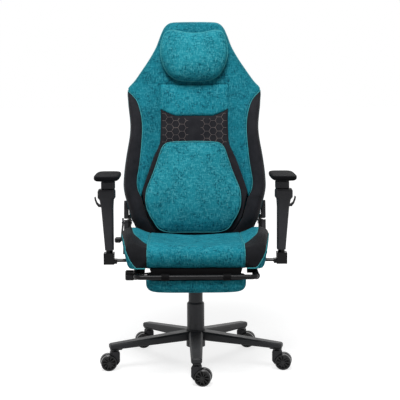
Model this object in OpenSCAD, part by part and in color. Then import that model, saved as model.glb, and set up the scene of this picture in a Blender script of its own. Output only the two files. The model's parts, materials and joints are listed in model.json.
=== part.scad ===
// Gaming chair with a five-star base, gas column, tilting seat, reclining back,
// adjustable armrests and a sliding footrest. Millimetres, +Z up, front towards -Y.
// The origin is on the floor, on the axis of the column.

/* [Base] */
// Radius from the column axis to the caster stems
stem_radius = 320; // [290:1:340]
// Width of a base arm at the hub
arm_hub_w = 57; // [48:1:64]
// Width of a base arm at its tip
arm_tip_w = 40; // [34:1:46]
// Height of the top of the arms at the hub
arm_top = 131; // [124:1:140]

/* [Casters] */
// Diameter of a caster wheel
wheel_d = 60; // [54:1:64]
// Width of one wheel of a pair
wheel_w = 18; // [14:1:20]
// Distance from the stem to the axle
trail = 24; // [20:1:28]
// Number of spokes in a wheel
spokes = 10; // [6:1:12]

/* [Column] */
// Diameter of the outer column tube
column_d = 50; // [46:1:51]
// Diameter of the sliding gas tube
gas_d = 28; // [24:1:30]
// Diameter of the fixed dust cover
cover_d = 66; // [62:1:72]

/* [Seat] */
// Width of the seat over its bolsters
seat_w = 550; // [500:2:556]
// Width of the middle panel of the seat
panel_w = 351; // [300:1:370]
// Front edge of the seat, ahead of the column axis
seat_front = 270; // [250:1:280]
// Rear edge of the seat cushion, behind the column axis
seat_rear = 156; // [130:1:158]
// Height of the underside of the seat cushion
seat_z = 410; // [408:1:414]
// Height of the front lip of the seat
lip_z = 484; // [470:1:500]

/* [Back] */
// Recline axis, behind the column axis
recline_y = 232; // [230:1:240]
// Height of the recline axis
recline_z = 515; // [512:1:520]
// Lean of the back from the vertical, in degrees
lean = 11; // [8:0.5:14]
// Height of the back above the recline axis, along the back
back_h = 804; // [780:2:830]

/* [Armrests] */
// Distance of the armrests from the middle
arm_x = 328; // [324:1:334]
// Length of an armrest pad
pad_l = 250; // [220:2:260]
// Width of an armrest pad
pad_w = 95; // [80:1:100]
// Height of the top of the armrest pads
pad_top = 731; // [731:1:740]

/* [Footrest] */
// Distance of the footrest rails from the middle
rail_x = 216; // [208:1:218]
// Length of a footrest leg, from the crossbar back
leg_l = 345; // [320:1:360]
// Width of the footrest pad
foot_w = 360; // [320:2:380]

/* [Hidden] */
$fn = 48;

// Colours
teal = "#23858f";
black_cloth = "#26262a";
black_metal = "#2f3134";
black_plastic = "#1f2022";
steel = "#b8bcc0";

// Base
arm_angles = [for (k = [0 : 4]) 270 + 72 * k];
arm_tip_top = 100;
arm_hub_bottom = 96;
arm_tip_bottom = 79;
hub_r = 36;
hub_top = 134;
hub_bottom = 66;
boss_bottom = 76;
stem_r = 5.5;
socket_r = 8;

// Casters: each trails away from the middle plane, turned a little to the front
headings = [for (a = arm_angles) cos(a) < -0.1 ? 190 : -10];
wheel_r = wheel_d / 2;
web_half = 5;
wheel_gap = 1.5;
fork_top = 71;

// Column, from the floor up
tube_bottom = 62;
tube_top = 262;
gas_bottom = 130;
gas_top = 383;
taper_start = 348;
rod_r = 5;
rod_top = 290;
cover_top = 236;

// Tilt mechanism
tilt_y = -42;
tilt_z = 388;
spring_y = -80;
housing_half = 68;
lever_y = 20;
lever_x = -78;
lever_z = 354;
lever_end = [-252, 20, 336.4];

// Seat
half_seat = seat_w / 2;
half_panel = panel_w / 2;
seat_l = seat_front + seat_rear;
plate_z = 403;
frame_top = 422;
bar_z = 397;
bar_t = 6;
arm_y = -10;
trigger_axis = [arm_x + 34, 609];

// Recline hinge
recline_range = 55;
plate_in = 254;
plate_t = 5;
bracket_in = plate_in + plate_t + 1;
bracket_out = bracket_in + plate_t;
cover_out = bracket_out + 16;

// Footrest
rail_z = 383;
leg_r = 9;
cross_y = -(seat_front + 15);
board_z = 368;

// Half width of the back against the height above the recline axis
back_outline = [[-50, 165], [-36, 219], [-8, 244], [46, 262], [106, 277], [155, 280],
    [250, 272], [370, 254], [480, 263], [516, 266], [536, 262], [574, 233], [656, 177],
    [703, 151], [754, 132], [784, 118], [back_h, 98]];
// Half width at the seam between the back cushion and its bolsters
back_seam = [[-50, 140], [-8, 186], [50, 210], [107, 222], [162, 229], [248, 218],
    [350, 212], [400, 214], [446, 221], [496, 238], [521, 262], [536, 262]];
// Half width of the lumbar pillow against its height on the back
lumbar_outline = [[-40, 128], [-24, 146], [20, 172], [80, 185], [125, 183], [200, 160],
    [262, 138], [298, 126], [314, 112]];

// Blend from 0 to 1 as t goes from 0 to 1, with flat ends
function smooth(t) = let (c = min(1, max(0, t))) c * c * (3 - 2 * c);

// Ring with squarish corners in the plane z: half sizes a and b, power 2 for an ellipse
function ring(x, y, z, a, b, power = 4, count = 32) = [
    for (i = [0 : count - 1])
        let (c = cos(360 * i / count), s = sin(360 * i / count))
        [x + a * sign(c) * pow(abs(c), 2 / power), y + b * sign(s) * pow(abs(s), 2 / power), z]
];

// Solid skin over rings of the same number of points, lowest ring first
module loft(rings) {
    n = len(rings[0]);
    last = len(rings) - 1;
    points = [for (r = rings) each r];
    skin = [
        for (j = [0 : last - 1], i = [0 : n - 1])
            let (a = j * n + i, b = j * n + (i + 1) % n)
            each [[a, a + n, b + n], [a, b + n, b]]
    ];
    bottom = [for (i = [1 : n - 2]) [0, i, i + 1]];
    top = [for (i = [1 : n - 2]) [last * n, last * n + i + 1, last * n + i]];
    polyhedron(points, concat(skin, bottom, top), convexity = 6);
}

// Solid between a front and a rear grid of points; columns run along +X, rows along +Z
module between(front, rear) {
    m = len(front);
    n = len(front[0]);
    all = m * n;
    points = concat([for (row = front) each row], [for (row = rear) each row]);
    faces = [for (j = [0 : m - 2], i = [0 : n - 2])
        let (a = j * n + i, b = a + 1, c = a + n, d = c + 1)
        each [[a, c, d], [a, d, b], [all + a, all + d, all + c], [all + a, all + b, all + d]]];
    left = [for (j = [0 : m - 2]) let (a = j * n, c = a + n)
        each [[a, all + a, all + c], [a, all + c, c]]];
    right = [for (j = [0 : m - 2]) let (a = j * n + n - 1, c = a + n)
        each [[a, c, all + c], [a, all + c, all + a]]];
    low = [for (i = [0 : n - 2]) let (a = i, b = i + 1)
        each [[a, b, all + b], [a, all + b, all + a]]];
    high = [for (i = [0 : n - 2]) let (a = (m - 1) * n + i, b = a + 1)
        each [[a, all + a, all + b], [a, all + b, b]]];
    polyhedron(points, concat(faces, left, right, low, high), convexity = 10);
}

// Round bar through a list of points, with ball corners
module bar(points, r, ball) {
    for (i = [0 : len(points) - 2]) rod(points[i], points[i + 1], r);
    for (i = [1 : len(points) - 2]) translate(points[i]) rotate([37, 23, 0]) sphere(ball);
}

// Quarter bend of round bar in the XY plane about a centre, from angle a to a + 90
module bend(centre, radius, r, a) {
    translate(centre) rotate([0, 0, a]) rotate_extrude(angle = 90) translate([radius, 0]) circle(r);
}

// Straight round rod between two points
module rod(a, b, r) {
    d = b - a;
    translate(a)
        rotate([0, acos(d[2] / norm(d)), atan2(d[1], d[0])])
            cylinder(r = r, h = norm(d));
}

// Ring-shaped solid on Z
module collar(outer, inner, low, high) {
    translate([0, 0, low]) difference() {
        cylinder(r = outer, h = high - low);
        translate([0, 0, -1]) cylinder(r = inner, h = high - low + 2);
    }
}

// The same thing on both sides of the middle plane
module both_sides() {
    children();
    mirror([1, 0, 0]) children();
}

// Frame of the back: origin on the recline axis, Z up along the back, -Y to the front
module on_back() {
    translate([0, recline_y, recline_z]) rotate([-lean, 0, 0]) children();
}

// Frame of caster k: origin on the floor below its stem, +X to its axle
module at_caster(k) {
    a = arm_angles[k - 1];
    translate([stem_radius * cos(a), stem_radius * sin(a), 0])
        rotate([0, 0, headings[k - 1]]) children();
}

/* ---- base ---- */

// One arm along +X: a tapered beam with chamfered top edges and a tip with round corners
module base_arm() {
    chamfer = 7;
    tip_round = 11;
    reach = arm_tip_w / 2 - tip_round;
    hull() {
        rotate([90, 0, 90]) linear_extrude(1)
            polygon([[-arm_hub_w / 2 + 3, arm_hub_bottom], [arm_hub_w / 2 - 3, arm_hub_bottom],
                [arm_hub_w / 2, arm_top - chamfer], [arm_hub_w / 2 - chamfer, arm_top],
                [-arm_hub_w / 2 + chamfer, arm_top], [-arm_hub_w / 2, arm_top - chamfer]]);
        for (s = [-1, 1]) translate([stem_radius + reach, s * reach, arm_tip_bottom]) {
            translate([0, 0, 6]) cylinder(r = tip_round, h = arm_tip_top - arm_tip_bottom - 10, $fn = 32);
            cylinder(r1 = tip_round - 4, r2 = tip_round - 5, h = arm_tip_top - arm_tip_bottom, $fn = 32);
        }
    }
}

// Pockets on the underside of an arm, with ribs left between them
module arm_pockets() {
    slope = atan2(arm_top - arm_tip_top, stem_radius);
    wall = 5;
    pocket_count = 4;
    first = hub_r + 12;
    last = stem_radius - 26;
    pitch = (last - first) / pocket_count;
    for (i = [0 : pocket_count - 1]) {
        x = first + i * pitch;
        w = arm_hub_w + (arm_tip_w - arm_hub_w) * (x + pitch) / stem_radius - 2 * wall - 4;
        ceiling = arm_top - tan(slope) * (x + pitch) - 8;
        translate([x, -w / 2, 0]) cube([pitch - 4, w, ceiling]);
    }
}

module star_base() {
    color(black_metal) difference() {
        union() {
            for (a = arm_angles) rotate([0, 0, a]) base_arm();
            translate([0, 0, hub_bottom]) cylinder(r = hub_r, h = hub_top - hub_bottom - 2);
            translate([0, 0, hub_top - 2]) cylinder(r1 = hub_r, r2 = hub_r - 2, h = 2);
            for (a = arm_angles) rotate([0, 0, a]) translate([stem_radius, 0, boss_bottom])
                linear_extrude(10)
                    polygon([[-27, -9], [-22, -14], [12, -14], [17, -9], [17, 9], [12, 14],
                        [-22, 14], [-27, 9]]);
        }
        for (a = arm_angles) rotate([0, 0, a]) {
            arm_pockets();
            translate([stem_radius, 0, boss_bottom - 1]) cylinder(r = socket_r, h = 17);
        }
        translate([0, 0, hub_bottom - 1]) cylinder(d = column_d + 0.1, h = 100);
    }
}

// Plastic sleeves that grip the caster stems
module caster_sockets() {
    color(black_plastic) for (a = arm_angles) rotate([0, 0, a]) translate([stem_radius, 0, 0]) {
        collar(socket_r - 0.05, stem_r + 0.06, boss_bottom, boss_bottom + 15);
        collar(socket_r + 2, stem_r + 0.06, boss_bottom - 1.5, boss_bottom - 0.05);
    }
}

/* ---- column ---- */

module column_tube() {
    color(black_metal) difference() {
        translate([0, 0, tube_bottom]) cylinder(d = column_d, h = tube_top - tube_bottom);
        translate([0, 0, tube_bottom + 4]) cylinder(d = column_d - 5, h = tube_top);
        translate([0, 0, tube_bottom - 1]) cylinder(r = rod_r + 1.3, h = 10);
    }
}

module guide_bush() {
    color(black_plastic) collar(column_d / 2 - 2.55, gas_d / 2 + 0.06, 200, tube_top);
}

// Fixed dust cover, with a bevelled lip at its top
module lift_cover_lower() {
    r = cover_d / 2;
    color(black_plastic) rotate_extrude($fn = 64)
        polygon([[r - 2, hub_top], [r, hub_top], [r, cover_top - 5], [r - 3, cover_top],
            [column_d / 2 + 2.7, cover_top], [column_d / 2 + 2.7, cover_top - 8],
            [r - 2, cover_top - 8]]);
}

module gas_rod() {
    color(steel) translate([0, 0, 54]) cylinder(r = rod_r, h = rod_top - 54);
}

// Ball bearing that the rod turns on, inside the foot of the column tube
module thrust_bearing() {
    low = tube_bottom + 4.3;
    color(steel) {
        collar(17, rod_r + 0.05, low, low + 2.5);
        collar(17, rod_r + 0.05, low + 5.5, low + 8);
        collar(9, rod_r + 0.05, low + 2.5, low + 5.5);
        for (a = [0 : 45 : 315]) rotate([0, 0, a]) translate([13, 0, low + 4]) sphere(2.4, $fn = 24);
    }
}

module retaining_clip() {
    color(steel) difference() {
        collar(10, rod_r + 0.05, 57, 59);
        translate([0, -2, 50]) cube([20, 4, 20]);
    }
}

// Sliding gas tube, tapered where it seats in the mechanism
module gas_tube() {
    r = gas_d / 2;
    color(black_metal) rotate_extrude()
        polygon([[rod_r + 0.05, gas_bottom], [r, gas_bottom], [r, taper_start],
            [r - 0.9, gas_top - 3], [r - 4, gas_top], [0, gas_top], [0, rod_top + 48],
            [rod_r + 0.05, rod_top + 48]]);
}

// Dust cover that rises with the seat
module lift_cover_upper() {
    outer = column_d / 2 + 2;
    color(black_plastic) rotate_extrude($fn = 64)
        polygon([[outer - 1.3, 186], [outer, 186], [outer, 338], [outer - 2, 340],
            [gas_d / 2 + 0.1, 340], [gas_d / 2 + 0.1, 336], [outer - 1.3, 336]]);
}

/* ---- tilt mechanism ---- */

// Side outline of the housing in Y and Z: high at the tilt pin, falling to the rear
function housing_side(inset) = [
    [-106 + inset, 352 + inset], [-92 + inset, 343 + inset], [44, 343 + inset],
    [112 - inset, 354 + inset], [112 - inset, 363], [26, 383], [-28, 396],
    [-98, 396], [-106 + inset, 388]
];

// Sheet steel housing, open on top, with the socket that the gas tube wedges into
module mechanism_housing() {
    r = gas_d / 2;
    wall = 3;
    color(black_metal) difference() {
        union() {
            difference() {
                translate([-housing_half, 0, 0]) rotate([90, 0, 90])
                    linear_extrude(2 * housing_half) polygon(housing_side(0));
                translate([-housing_half + wall, 0, 0]) rotate([90, 0, 90])
                    linear_extrude(2 * (housing_half - wall))
                        polygon(concat([for (p = housing_side(wall)) if (p[1] < 383) p],
                            [[26, 400], [-106 + wall, 400]]));
            }
            translate([0, 0, 344]) cylinder(r = 24, h = 38);
            for (x = [-40, 40]) translate([x - 1.5, -60, 344]) cube([3, 150, 14]);
            translate([0, spring_y, 344]) cylinder(r = 20, h = 4);
            for (s = [-1, 1]) translate([s * (housing_half - 4), tilt_y, tilt_z])
                rotate([0, 90, 0]) cylinder(r = 11, h = 6, center = true);
            for (y = [lever_y - 13, lever_y + 9]) translate([lever_x, y, lever_z]) {
                rotate([-90, 0, 0]) cylinder(r = 8, h = 4);
                translate([0, 0, -8]) cube([11, 4, 16]);
            }
        }
        translate([0, 0, 343 - 10]) cylinder(r = r + 0.06, h = taper_start - 333);
        translate([0, 0, taper_start - 0.01])
            cylinder(r1 = r + 0.06, r2 = r - 0.84, h = gas_top - 3 - taper_start);
        translate([0, 0, gas_top - 10]) cylinder(r = r - 0.6, h = 20);
        translate([0, spring_y, 330]) cylinder(r = 5.1, h = 30);
        translate([-100, tilt_y, tilt_z]) rotate([0, 90, 0]) cylinder(r = 6.03, h = 200);
        translate([lever_x, lever_y - 20, lever_z]) rotate([-90, 0, 0]) cylinder(r = 3.05, h = 40);
    }
}

// Coil spring round the tension bolt
module tilt_spring() {
    wire = 2.4;
    coil_r = 13;
    turns = 5;
    steps = 14;
    sides = 8;
    count = turns * steps;
    low = 350.5;
    pitch = 7;
    rings = [for (i = [0 : count]) let (a = 360 * i / steps)
        [for (j = [0 : sides - 1]) let (b = 360 * j / sides, d = coil_r + wire * cos(b))
            [d * cos(a), spring_y + d * sin(a), low + pitch * i / steps + wire * sin(b)]]];
    color(steel) sweep(rings);
}

// Closed skin through rings that follow a path
module sweep(rings) {
    n = len(rings[0]);
    last = len(rings) - 1;
    skin = [for (j = [0 : last - 1], i = [0 : n - 1])
        let (a = j * n + i, b = j * n + (i + 1) % n)
        each [[a, b, b + n], [a, b + n, a + n]]];
    ends = concat([for (i = [1 : n - 2]) [0, i + 1, i]],
        [for (i = [1 : n - 2]) [last * n, last * n + i, last * n + i + 1]]);
    polyhedron([for (r = rings) each r], concat(skin, ends), convexity = 10);
}

module tilt_pin() {
    color(steel) translate([-82, tilt_y, tilt_z]) rotate([0, 90, 0]) {
        cylinder(r = 6, h = 164);
        translate([0, 0, -3]) cylinder(r = 9, h = 3);
        translate([0, 0, 164]) cylinder(r = 9, h = 3);
    }
}

// Ribbed hand knob on the tension bolt
module tension_knob() {
    color(black_plastic) translate([0, spring_y, 0]) {
        difference() {
            union() {
                translate([0, 0, 302]) cylinder(r1 = 19, r2 = 22, h = 6);
                translate([0, 0, 308]) cylinder(r = 22, h = 26);
                translate([0, 0, 334]) cylinder(r1 = 22, r2 = 14, h = 8);
            }
            for (a = [0 : 30 : 330]) rotate([0, 0, a]) translate([24, 0, 300])
                cylinder(r = 4, h = 40);
        }
        translate([0, 0, 340]) cylinder(r = 5, h = 44);
        translate([0, 0, 384]) cylinder(r = 9, h = 5, $fn = 6);
        translate([0, 0, 388.1]) cylinder(r = 15, h = 2);
    }
}

module height_lever_rod() {
    color(black_metal) {
        rod([lever_x, lever_y, lever_z], lever_end, 4);
        translate([lever_x, lever_y - 8.5, lever_z]) rotate([-90, 0, 0]) cylinder(r = 6, h = 17);
        translate([lever_x, lever_y - 14, lever_z]) rotate([-90, 0, 0]) cylinder(r = 3, h = 28);
    }
}

// Lobed grip on the end of the height lever
module height_lever_grip() {
    lobe_r = 20;
    color(black_plastic) difference() {
        translate([lever_end[0] - 16, lever_y, 337]) rotate([0, 90, 0]) difference() {
            union() {
                cylinder(r1 = lobe_r - 3, r2 = lobe_r, h = 4);
                translate([0, 0, 4]) cylinder(r = lobe_r, h = 26);
                translate([0, 0, 30]) cylinder(r1 = lobe_r, r2 = lobe_r - 3, h = 4);
            }
            for (a = [0 : 60 : 300]) rotate([0, 0, a]) translate([lobe_r + 3.5, 0, -1])
                cylinder(r = 7, h = 40);
        }
        rod([lever_x, lever_y, lever_z], lever_end - [1, 0, 0.1], 4.05);
    }
}

/* ---- seat ---- */

// Steel plate that the tilt pin carries, with an ear on each side
module seat_plate() {
    color(black_metal) difference() {
        union() {
            translate([-96, -108, plate_z - 4]) cube([192, 224, 4]);
            for (s = [-1, 1]) translate([s * 73.5, tilt_y, 0]) {
                translate([-2.5, -15, tilt_z]) cube([5, 30, plate_z - 3 - tilt_z]);
                translate([0, 0, tilt_z]) rotate([0, 90, 0]) cylinder(r = 15, h = 5, center = true);
            }
        }
        translate([-100, tilt_y, tilt_z]) rotate([0, 90, 0]) cylinder(r = 6.05, h = 200);
        frame_bolt_holes();
        translate([0, 0, 390]) cylinder(r = 22, h = 30);
    }
}

// Welded tube frame below the cushion, with a floor of flat bars and a sheet apron at the front
module seat_frame() {
    frame_z = plate_z + 10;
    r = 9;
    fx = 190;
    apron = 166;
    front = -seat_front + 45;
    rear = seat_rear - 28;
    turn = 40;
    color(black_metal) difference() {
        union() {
            for (s = [-1, 1])
                rod([s * fx, front + turn, frame_z], [s * fx, rear - turn, frame_z], r);
            for (y = [front, rear]) rod([-fx + turn, y, frame_z], [fx - turn, y, frame_z], r);
            bend([fx - turn, rear - turn, frame_z], turn, r, 0);
            bend([-fx + turn, rear - turn, frame_z], turn, r, 90);
            bend([-fx + turn, front + turn, frame_z], turn, r, 180);
            bend([fx - turn, front + turn, frame_z], turn, r, 270);
            for (y = [-95, arm_y, 100]) translate([-fx, y - 17, plate_z]) cube([2 * fx, 34, 4]);
            for (s = [-1, 1]) translate([s * 198 - 22, front + 20, plate_z])
                cube([44, rear - front + 6, 3.5]);
            translate([-apron, -seat_front + 8, frame_z - 6.5]) cube([2 * apron, 40, 3]);
            translate([0, -seat_front + 11, 0]) rotate([90, 0, 0]) linear_extrude(3)
                polygon([[-apron, frame_z - 3.5], [apron, frame_z - 3.5], [apron - 7, frame_z - 27],
                    [7 - apron, frame_z - 27]]);
        }
        frame_bolt_holes();
    }
}

// Places of the bolts that hold plate, armrests and hinge brackets to the seat frame
plate_bolts = [for (x = [-80, 80], y = [-92, 100]) [x, y]];
side_bolts = [for (s = [-1, 1], p = [[200, 84], [200, 144], [130, arm_y], [170, arm_y]]) [s * p[0], p[1]]];

module frame_bolt_holes() {
    for (p = concat(plate_bolts, side_bolts)) translate([p[0], p[1], bar_z - 3])
        cylinder(r = 4.2, h = 14);
}

// Height of the seat's surface between the bolsters
function seat_top(y) = lip_z - 12 * smooth((y + seat_front - 60) / 180)
    - 10 * pow(max(0, 1 - (y + seat_front) / 26), 2) * 2.6;

// Middle of the seat, rounded over its front lip, with a recess below for the frame
module seat_cushion() {
    rows = [for (i = [0 : 13]) -seat_front + seat_l * pow(i / 13, 1.35)];
    cols = [for (j = [-7 : 7]) j / 7];
    half = half_panel;
    top = [for (y = rows) [for (s = cols)
        [s * half, y, seat_top(y) + 7 * pow(abs(s), 3) * smooth((y + seat_front) / 120)]]];
    low = [for (y = rows) [for (s = cols) [s * half, y, seat_z]]];
    color(teal) difference() {
        between(top, low);
        translate([-204, -seat_front + 30, seat_z - 20]) cube([408, seat_l - 44, frame_top - seat_z + 20]);
    }
}

// Cross section of a seat bolster: [distance outwards 0..1, height above the seat bottom]
bolster_section = [[0, 0], [0, 68], [0.1, 82], [0.28, 104], [0.5, 117], [0.72, 119],
    [0.9, 111], [1, 96], [0.98, 70], [0.86, 34], [0.68, 0]];

// Raised sides of the seat, seen from the front as dark horns
module seat_bolsters() {
    rows = [for (i = [0 : 10]) i / 10];
    inner = half_panel + 0.4;
    span = half_seat - inner;
    color(black_cloth) both_sides() difference() {
        loft([for (t = rows)
            let (y = -seat_front + 4 + (seat_l - 4) * t,
                rise = 0.62 + 0.38 * sin(min(90, 300 * t)) - 0.16 * smooth((t - 0.6) / 0.4),
                tuck = 10 * pow(1 - min(1, t * 6), 2) + 6 * smooth((t - 0.75) / 0.25))
            [for (p = bolster_section)
                [inner + (span - tuck) * p[0], y, seat_z + p[1] * (p[0] == 0 && p[1] > 0 ? 1 : rise)]]]);
        translate([0, -seat_front + 30, seat_z - 20]) cube([204, seat_l - 44, frame_top - seat_z + 20]);
    }
}

// Side plates bolted under the seat frame; they rise behind the seat to the recline axis
module recline_brackets() {
    color(black_metal) both_sides() difference() {
        union() {
            translate([bracket_in, 0, 0]) rotate([90, 0, 90]) linear_extrude(plate_t) union() {
                polygon([[66, bar_z], [recline_y + 4, bar_z], [recline_y + 26, 430],
                    [recline_y + 30, recline_z], [recline_y - 30, recline_z],
                    [recline_y - 46, 446], [180, 434], [66, 428]]);
                translate([recline_y, recline_z]) circle(30);
            }
            translate([178, 66, plate_z - 5]) cube([bracket_in - 176, 96, 5]);
        }
        translate([bracket_in - 1, recline_y, recline_z]) rotate([0, 90, 0]) cylinder(r = 6.05, h = 20);
        frame_bolt_holes();
    }
}

// Moulded covers over the fixed half of the hinges, hollow inside
module hinge_covers_seat() {
    color(black_plastic) both_sides() translate([bracket_out + 0.3, 0, 0]) difference() {
        rotate([90, 0, 90]) linear_extrude(cover_out - bracket_out) hinge_cover_side(0);
        translate([-1, 0, 0]) rotate([90, 0, 90])
            linear_extrude(cover_out - bracket_out - 2) hinge_cover_side(3);
        translate([-1, recline_y, recline_z]) rotate([0, 90, 0]) cylinder(r = 13, h = 40);
    }
}

// Side outline of the fixed hinge cover, drawn in by an inset. Its top and rear stay clear of
// the moving cover from upright to fully reclined
module hinge_cover_side(inset) {
    difference() {
        union() {
            translate([recline_y, recline_z]) circle(32 - inset);
            polygon([[recline_y - 32 + inset, recline_z], [recline_y - 52 + inset, 452],
                [120 + inset, 440 - inset], [110 + inset, 404 + inset],
                [recline_y + 2 - inset, 404 + inset], [recline_y + 30 - inset, 436],
                [recline_y + 32 - inset, recline_z]]);
        }
        translate([recline_y, recline_z]) {
            rotate(-lean) translate([-60, 6 - inset]) square([130, 60]);
            rotate(-lean - recline_range) translate([-60, 12 - inset]) square([130, 60]);
        }
    }
}

module hinge_pins() {
    color(steel) {
        both_sides() translate([plate_in - 4, recline_y, recline_z]) rotate([0, 90, 0]) {
            cylinder(r = 6, h = cover_out - plate_in + 5);
            cylinder(r = 10, h = 3.5);
            translate([0, 0, bracket_out - plate_in + 4.3]) cylinder(r = 10, h = 6, $fn = 6);
        }
        translate([-cover_out - 11, recline_y, recline_z]) rotate([0, 90, 0]) cylinder(r = 6, h = 14);
    }
}

// Paddle lever that frees the recline, on the sitter's right
module recline_lever() {
    x = -(cover_out + 4);
    color(black_plastic) difference() {
        union() {
            translate([x - 5, 0, 0]) rotate([90, 0, 90]) linear_extrude(6) union() {
                translate([recline_y, recline_z]) circle(16);
                polygon([[recline_y - 6, recline_z - 16], [recline_y - 15, recline_z - 3],
                    [112, 470], [106, 456]]);
            }
            translate([x - 30, 88, 452]) paddle();
        }
        translate([x - 8, recline_y, recline_z]) rotate([0, 90, 0]) cylinder(r = 6.06, h = 12);
    }
}

// Finger paddle with rounded corners, thinner at its upper and lower faces
module paddle() {
    loft([for (r = [[0, 3], [3, 0.5], [13, 0], [17, 3]]) ring(15, 24, r[0], 13 - r[1], 24 - r[1], 5, 24)]);
}

/* ---- armrests ---- */

// Flat bar from under the seat to a block outside it, with the spigot of the sleeve
module arm_brackets() {
    color(black_metal) both_sides() difference() {
        union() {
            translate([110, arm_y - 22, bar_z]) cube([arm_x - 110 - 10, 44, bar_t]);
            translate([arm_x - 21, arm_y - 24, 387]) cube([40, 48, 43]);
            translate([arm_x - 31, arm_y - 16, 389]) cube([14, 32, 16]);
            translate([arm_x - 2, arm_y, 430]) cylinder(r = 9, h = 24);
            translate([arm_x - 2, arm_y, 430]) cylinder(r = 13, h = 11);
        }
        frame_bolt_holes();
    }
}

// Tapered outer tube of an armrest; its outer side slopes and its inner side is upright
module arm_sleeves() {
    rows = [[441, -19, 14, 21], [470, -19, 16, 22], [600, -19, 26, 27], [632, -21, 32, 29],
        [640, -27, 39, 31], [664, -27, 39, 31], [671, -24, 36, 29]];
    color(black_plastic) both_sides() difference() {
        union() {
            loft([for (r = rows)
                ring(arm_x + (r[1] + r[2]) / 2, arm_y, r[0], (r[2] - r[1]) / 2, r[3], 6)]);
            for (y = [-14, 11.5]) translate([arm_x + 17, arm_y + y, trigger_axis[1] - 4])
                cube([20, 2.5, 8]);
            translate([trigger_axis[0], arm_y - 12, trigger_axis[1]]) rotate([-90, 0, 0])
                cylinder(r = 1.45, h = 24);
        }
        translate([arm_x - 13.4, arm_y - 18.4, 456]) cube([25.8, 36.8, 240]);
        translate([arm_x - 2, arm_y, 430]) cylinder(r = 9.1, h = 40);
    }
}

// Inner post of an armrest: a stem in the sleeve and the head that carries the pad
module arm_post() {
    color(black_plastic) difference() {
        union() {
            translate([arm_x - 13, arm_y - 18, 500]) cube([25, 36, 176]);
            loft([for (r = [[671.8, 24, 20], [675, 26, 22], [698, 26, 22], [702, 23, 20]])
                ring(arm_x, arm_y, r[0], r[1], r[2], 6)]);
        }
        translate([arm_x, arm_y, 688]) cylinder(r = 12.06, h = 30);
        translate([arm_x - 8, arm_y - 12, 496]) cube([15, 24, 150]);
    }
}

module arm_post_left() {
    mirror([1, 0, 0]) arm_post();
}

module arm_post_right() {
    arm_post();
}

// Curved finger trigger on the outer side of the sleeve
module arm_trigger() {
    color(black_plastic) translate([trigger_axis[0], arm_y, trigger_axis[1]]) rotate([90, 0, 0])
        translate([0, 0, -11]) linear_extrude(22) difference() {
            union() {
                circle(4.5);
                polygon([[-1, -4.5], [3, -3], [11, 7], [16, 21], [18, 32], [14, 34], [12, 23],
                    [7, 11], [-1, 4.4]]);
            }
            circle(1.52);
        }
}

module arm_trigger_left() {
    mirror([1, 0, 0]) arm_trigger();
}

module arm_trigger_right() {
    arm_trigger();
}

// Turning plate under the pad, with the pivot that sits in the head
module arm_carriage() {
    color(black_plastic) translate([arm_x, arm_y, 0]) {
        translate([0, 0, 690]) cylinder(r = 12, h = 16);
        translate([0, 0, 702.6]) cylinder(r = 27, h = 4);
        loft([for (r = [[706, 30, 62], [708, 33, 66], [712.6, 33, 66]]) ring(0, -6, r[0], r[1], r[2], 6)]);
    }
}

module arm_carriage_left() {
    mirror([1, 0, 0]) arm_carriage();
}

module arm_carriage_right() {
    arm_carriage();
}

// Soft pad with cut-off corners and a rounded rim
module arm_pad() {
    low = 712.9;
    rim = pad_w / 2;
    length = pad_l / 2;
    color(black_plastic) loft([for (r = [[low, 6], [low + 3, 1.5], [low + 8, 0], [pad_top - 3, 0.8],
        [pad_top - 0.8, 4], [pad_top, 8]])
        ring(arm_x, arm_y - 15, r[0], rim - r[1], length - r[1], 5)]);
}

module arm_pad_left() {
    mirror([1, 0, 0]) arm_pad();
}

module arm_pad_right() {
    arm_pad();
}

/* ---- footrest ---- */

// Steel guide tubes under the seat, hung from the frame by straps
module footrest_rails() {
    front = -seat_front + 14;
    color(black_metal) both_sides() difference() {
        union() {
            rod([rail_x, front, rail_z], [rail_x, 70, rail_z], 12);
            for (y = [-200, 36]) translate([rail_x - 30, y, rail_z]) cube([34, 26, plate_z - rail_z]);
        }
        rod([rail_x, front - 5, rail_z], [rail_x, 90, rail_z], 10.2);
    }
}

// Plastic bushes in the mouths of the guide tubes
module rail_bushes() {
    front = -seat_front + 14;
    color(black_plastic) both_sides() difference() {
        union() {
            rod([rail_x, front, rail_z], [rail_x, front + 60, rail_z], 10.15);
            rod([rail_x, front - 6, rail_z], [rail_x, front - 0.05, rail_z], 13);
        }
        rod([rail_x, front - 10, rail_z], [rail_x, front + 70, rail_z], leg_r + 0.06);
    }
}

// U-shaped tube that slides out with the footrest
module footrest_frame() {
    rear = cross_y + leg_l;
    turn = 22;
    color(black_metal) {
        rod([-rail_x + turn, cross_y, rail_z], [rail_x - turn, cross_y, rail_z], leg_r);
        for (s = [-1, 1]) {
            rod([s * rail_x, cross_y + turn, rail_z], [s * rail_x, rear, rail_z], leg_r);
            bend([s * (rail_x - turn), cross_y + turn, rail_z], turn, leg_r, s > 0 ? 270 : 180);
        }
    }
}

// Clips that turn on the crossbar and carry the board
module footrest_clamps() {
    color(black_metal) for (x = [-110, 110]) translate([x - 14, cross_y, rail_z]) difference() {
        union() {
            rotate([0, 90, 0]) cylinder(r = 12.5, h = 28);
            translate([0, 0, board_z + 3.2 - rail_z]) cube([28, 60, 3]);
        }
        translate([-1, 0, 0]) rotate([0, 90, 0]) cylinder(r = leg_r + 0.06, h = 30);
    }
}

// Board of the footrest, on its upper side while it is stored
module footrest_board() {
    color(black_plastic) loft([for (r = [[board_z - 12, 0], [board_z + 1, 0], [board_z + 3, 2]])
        ring(0, cross_y + 87, r[0], foot_w / 2 - 2 - r[1], 77 - r[1], 7)]);
}

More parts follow.
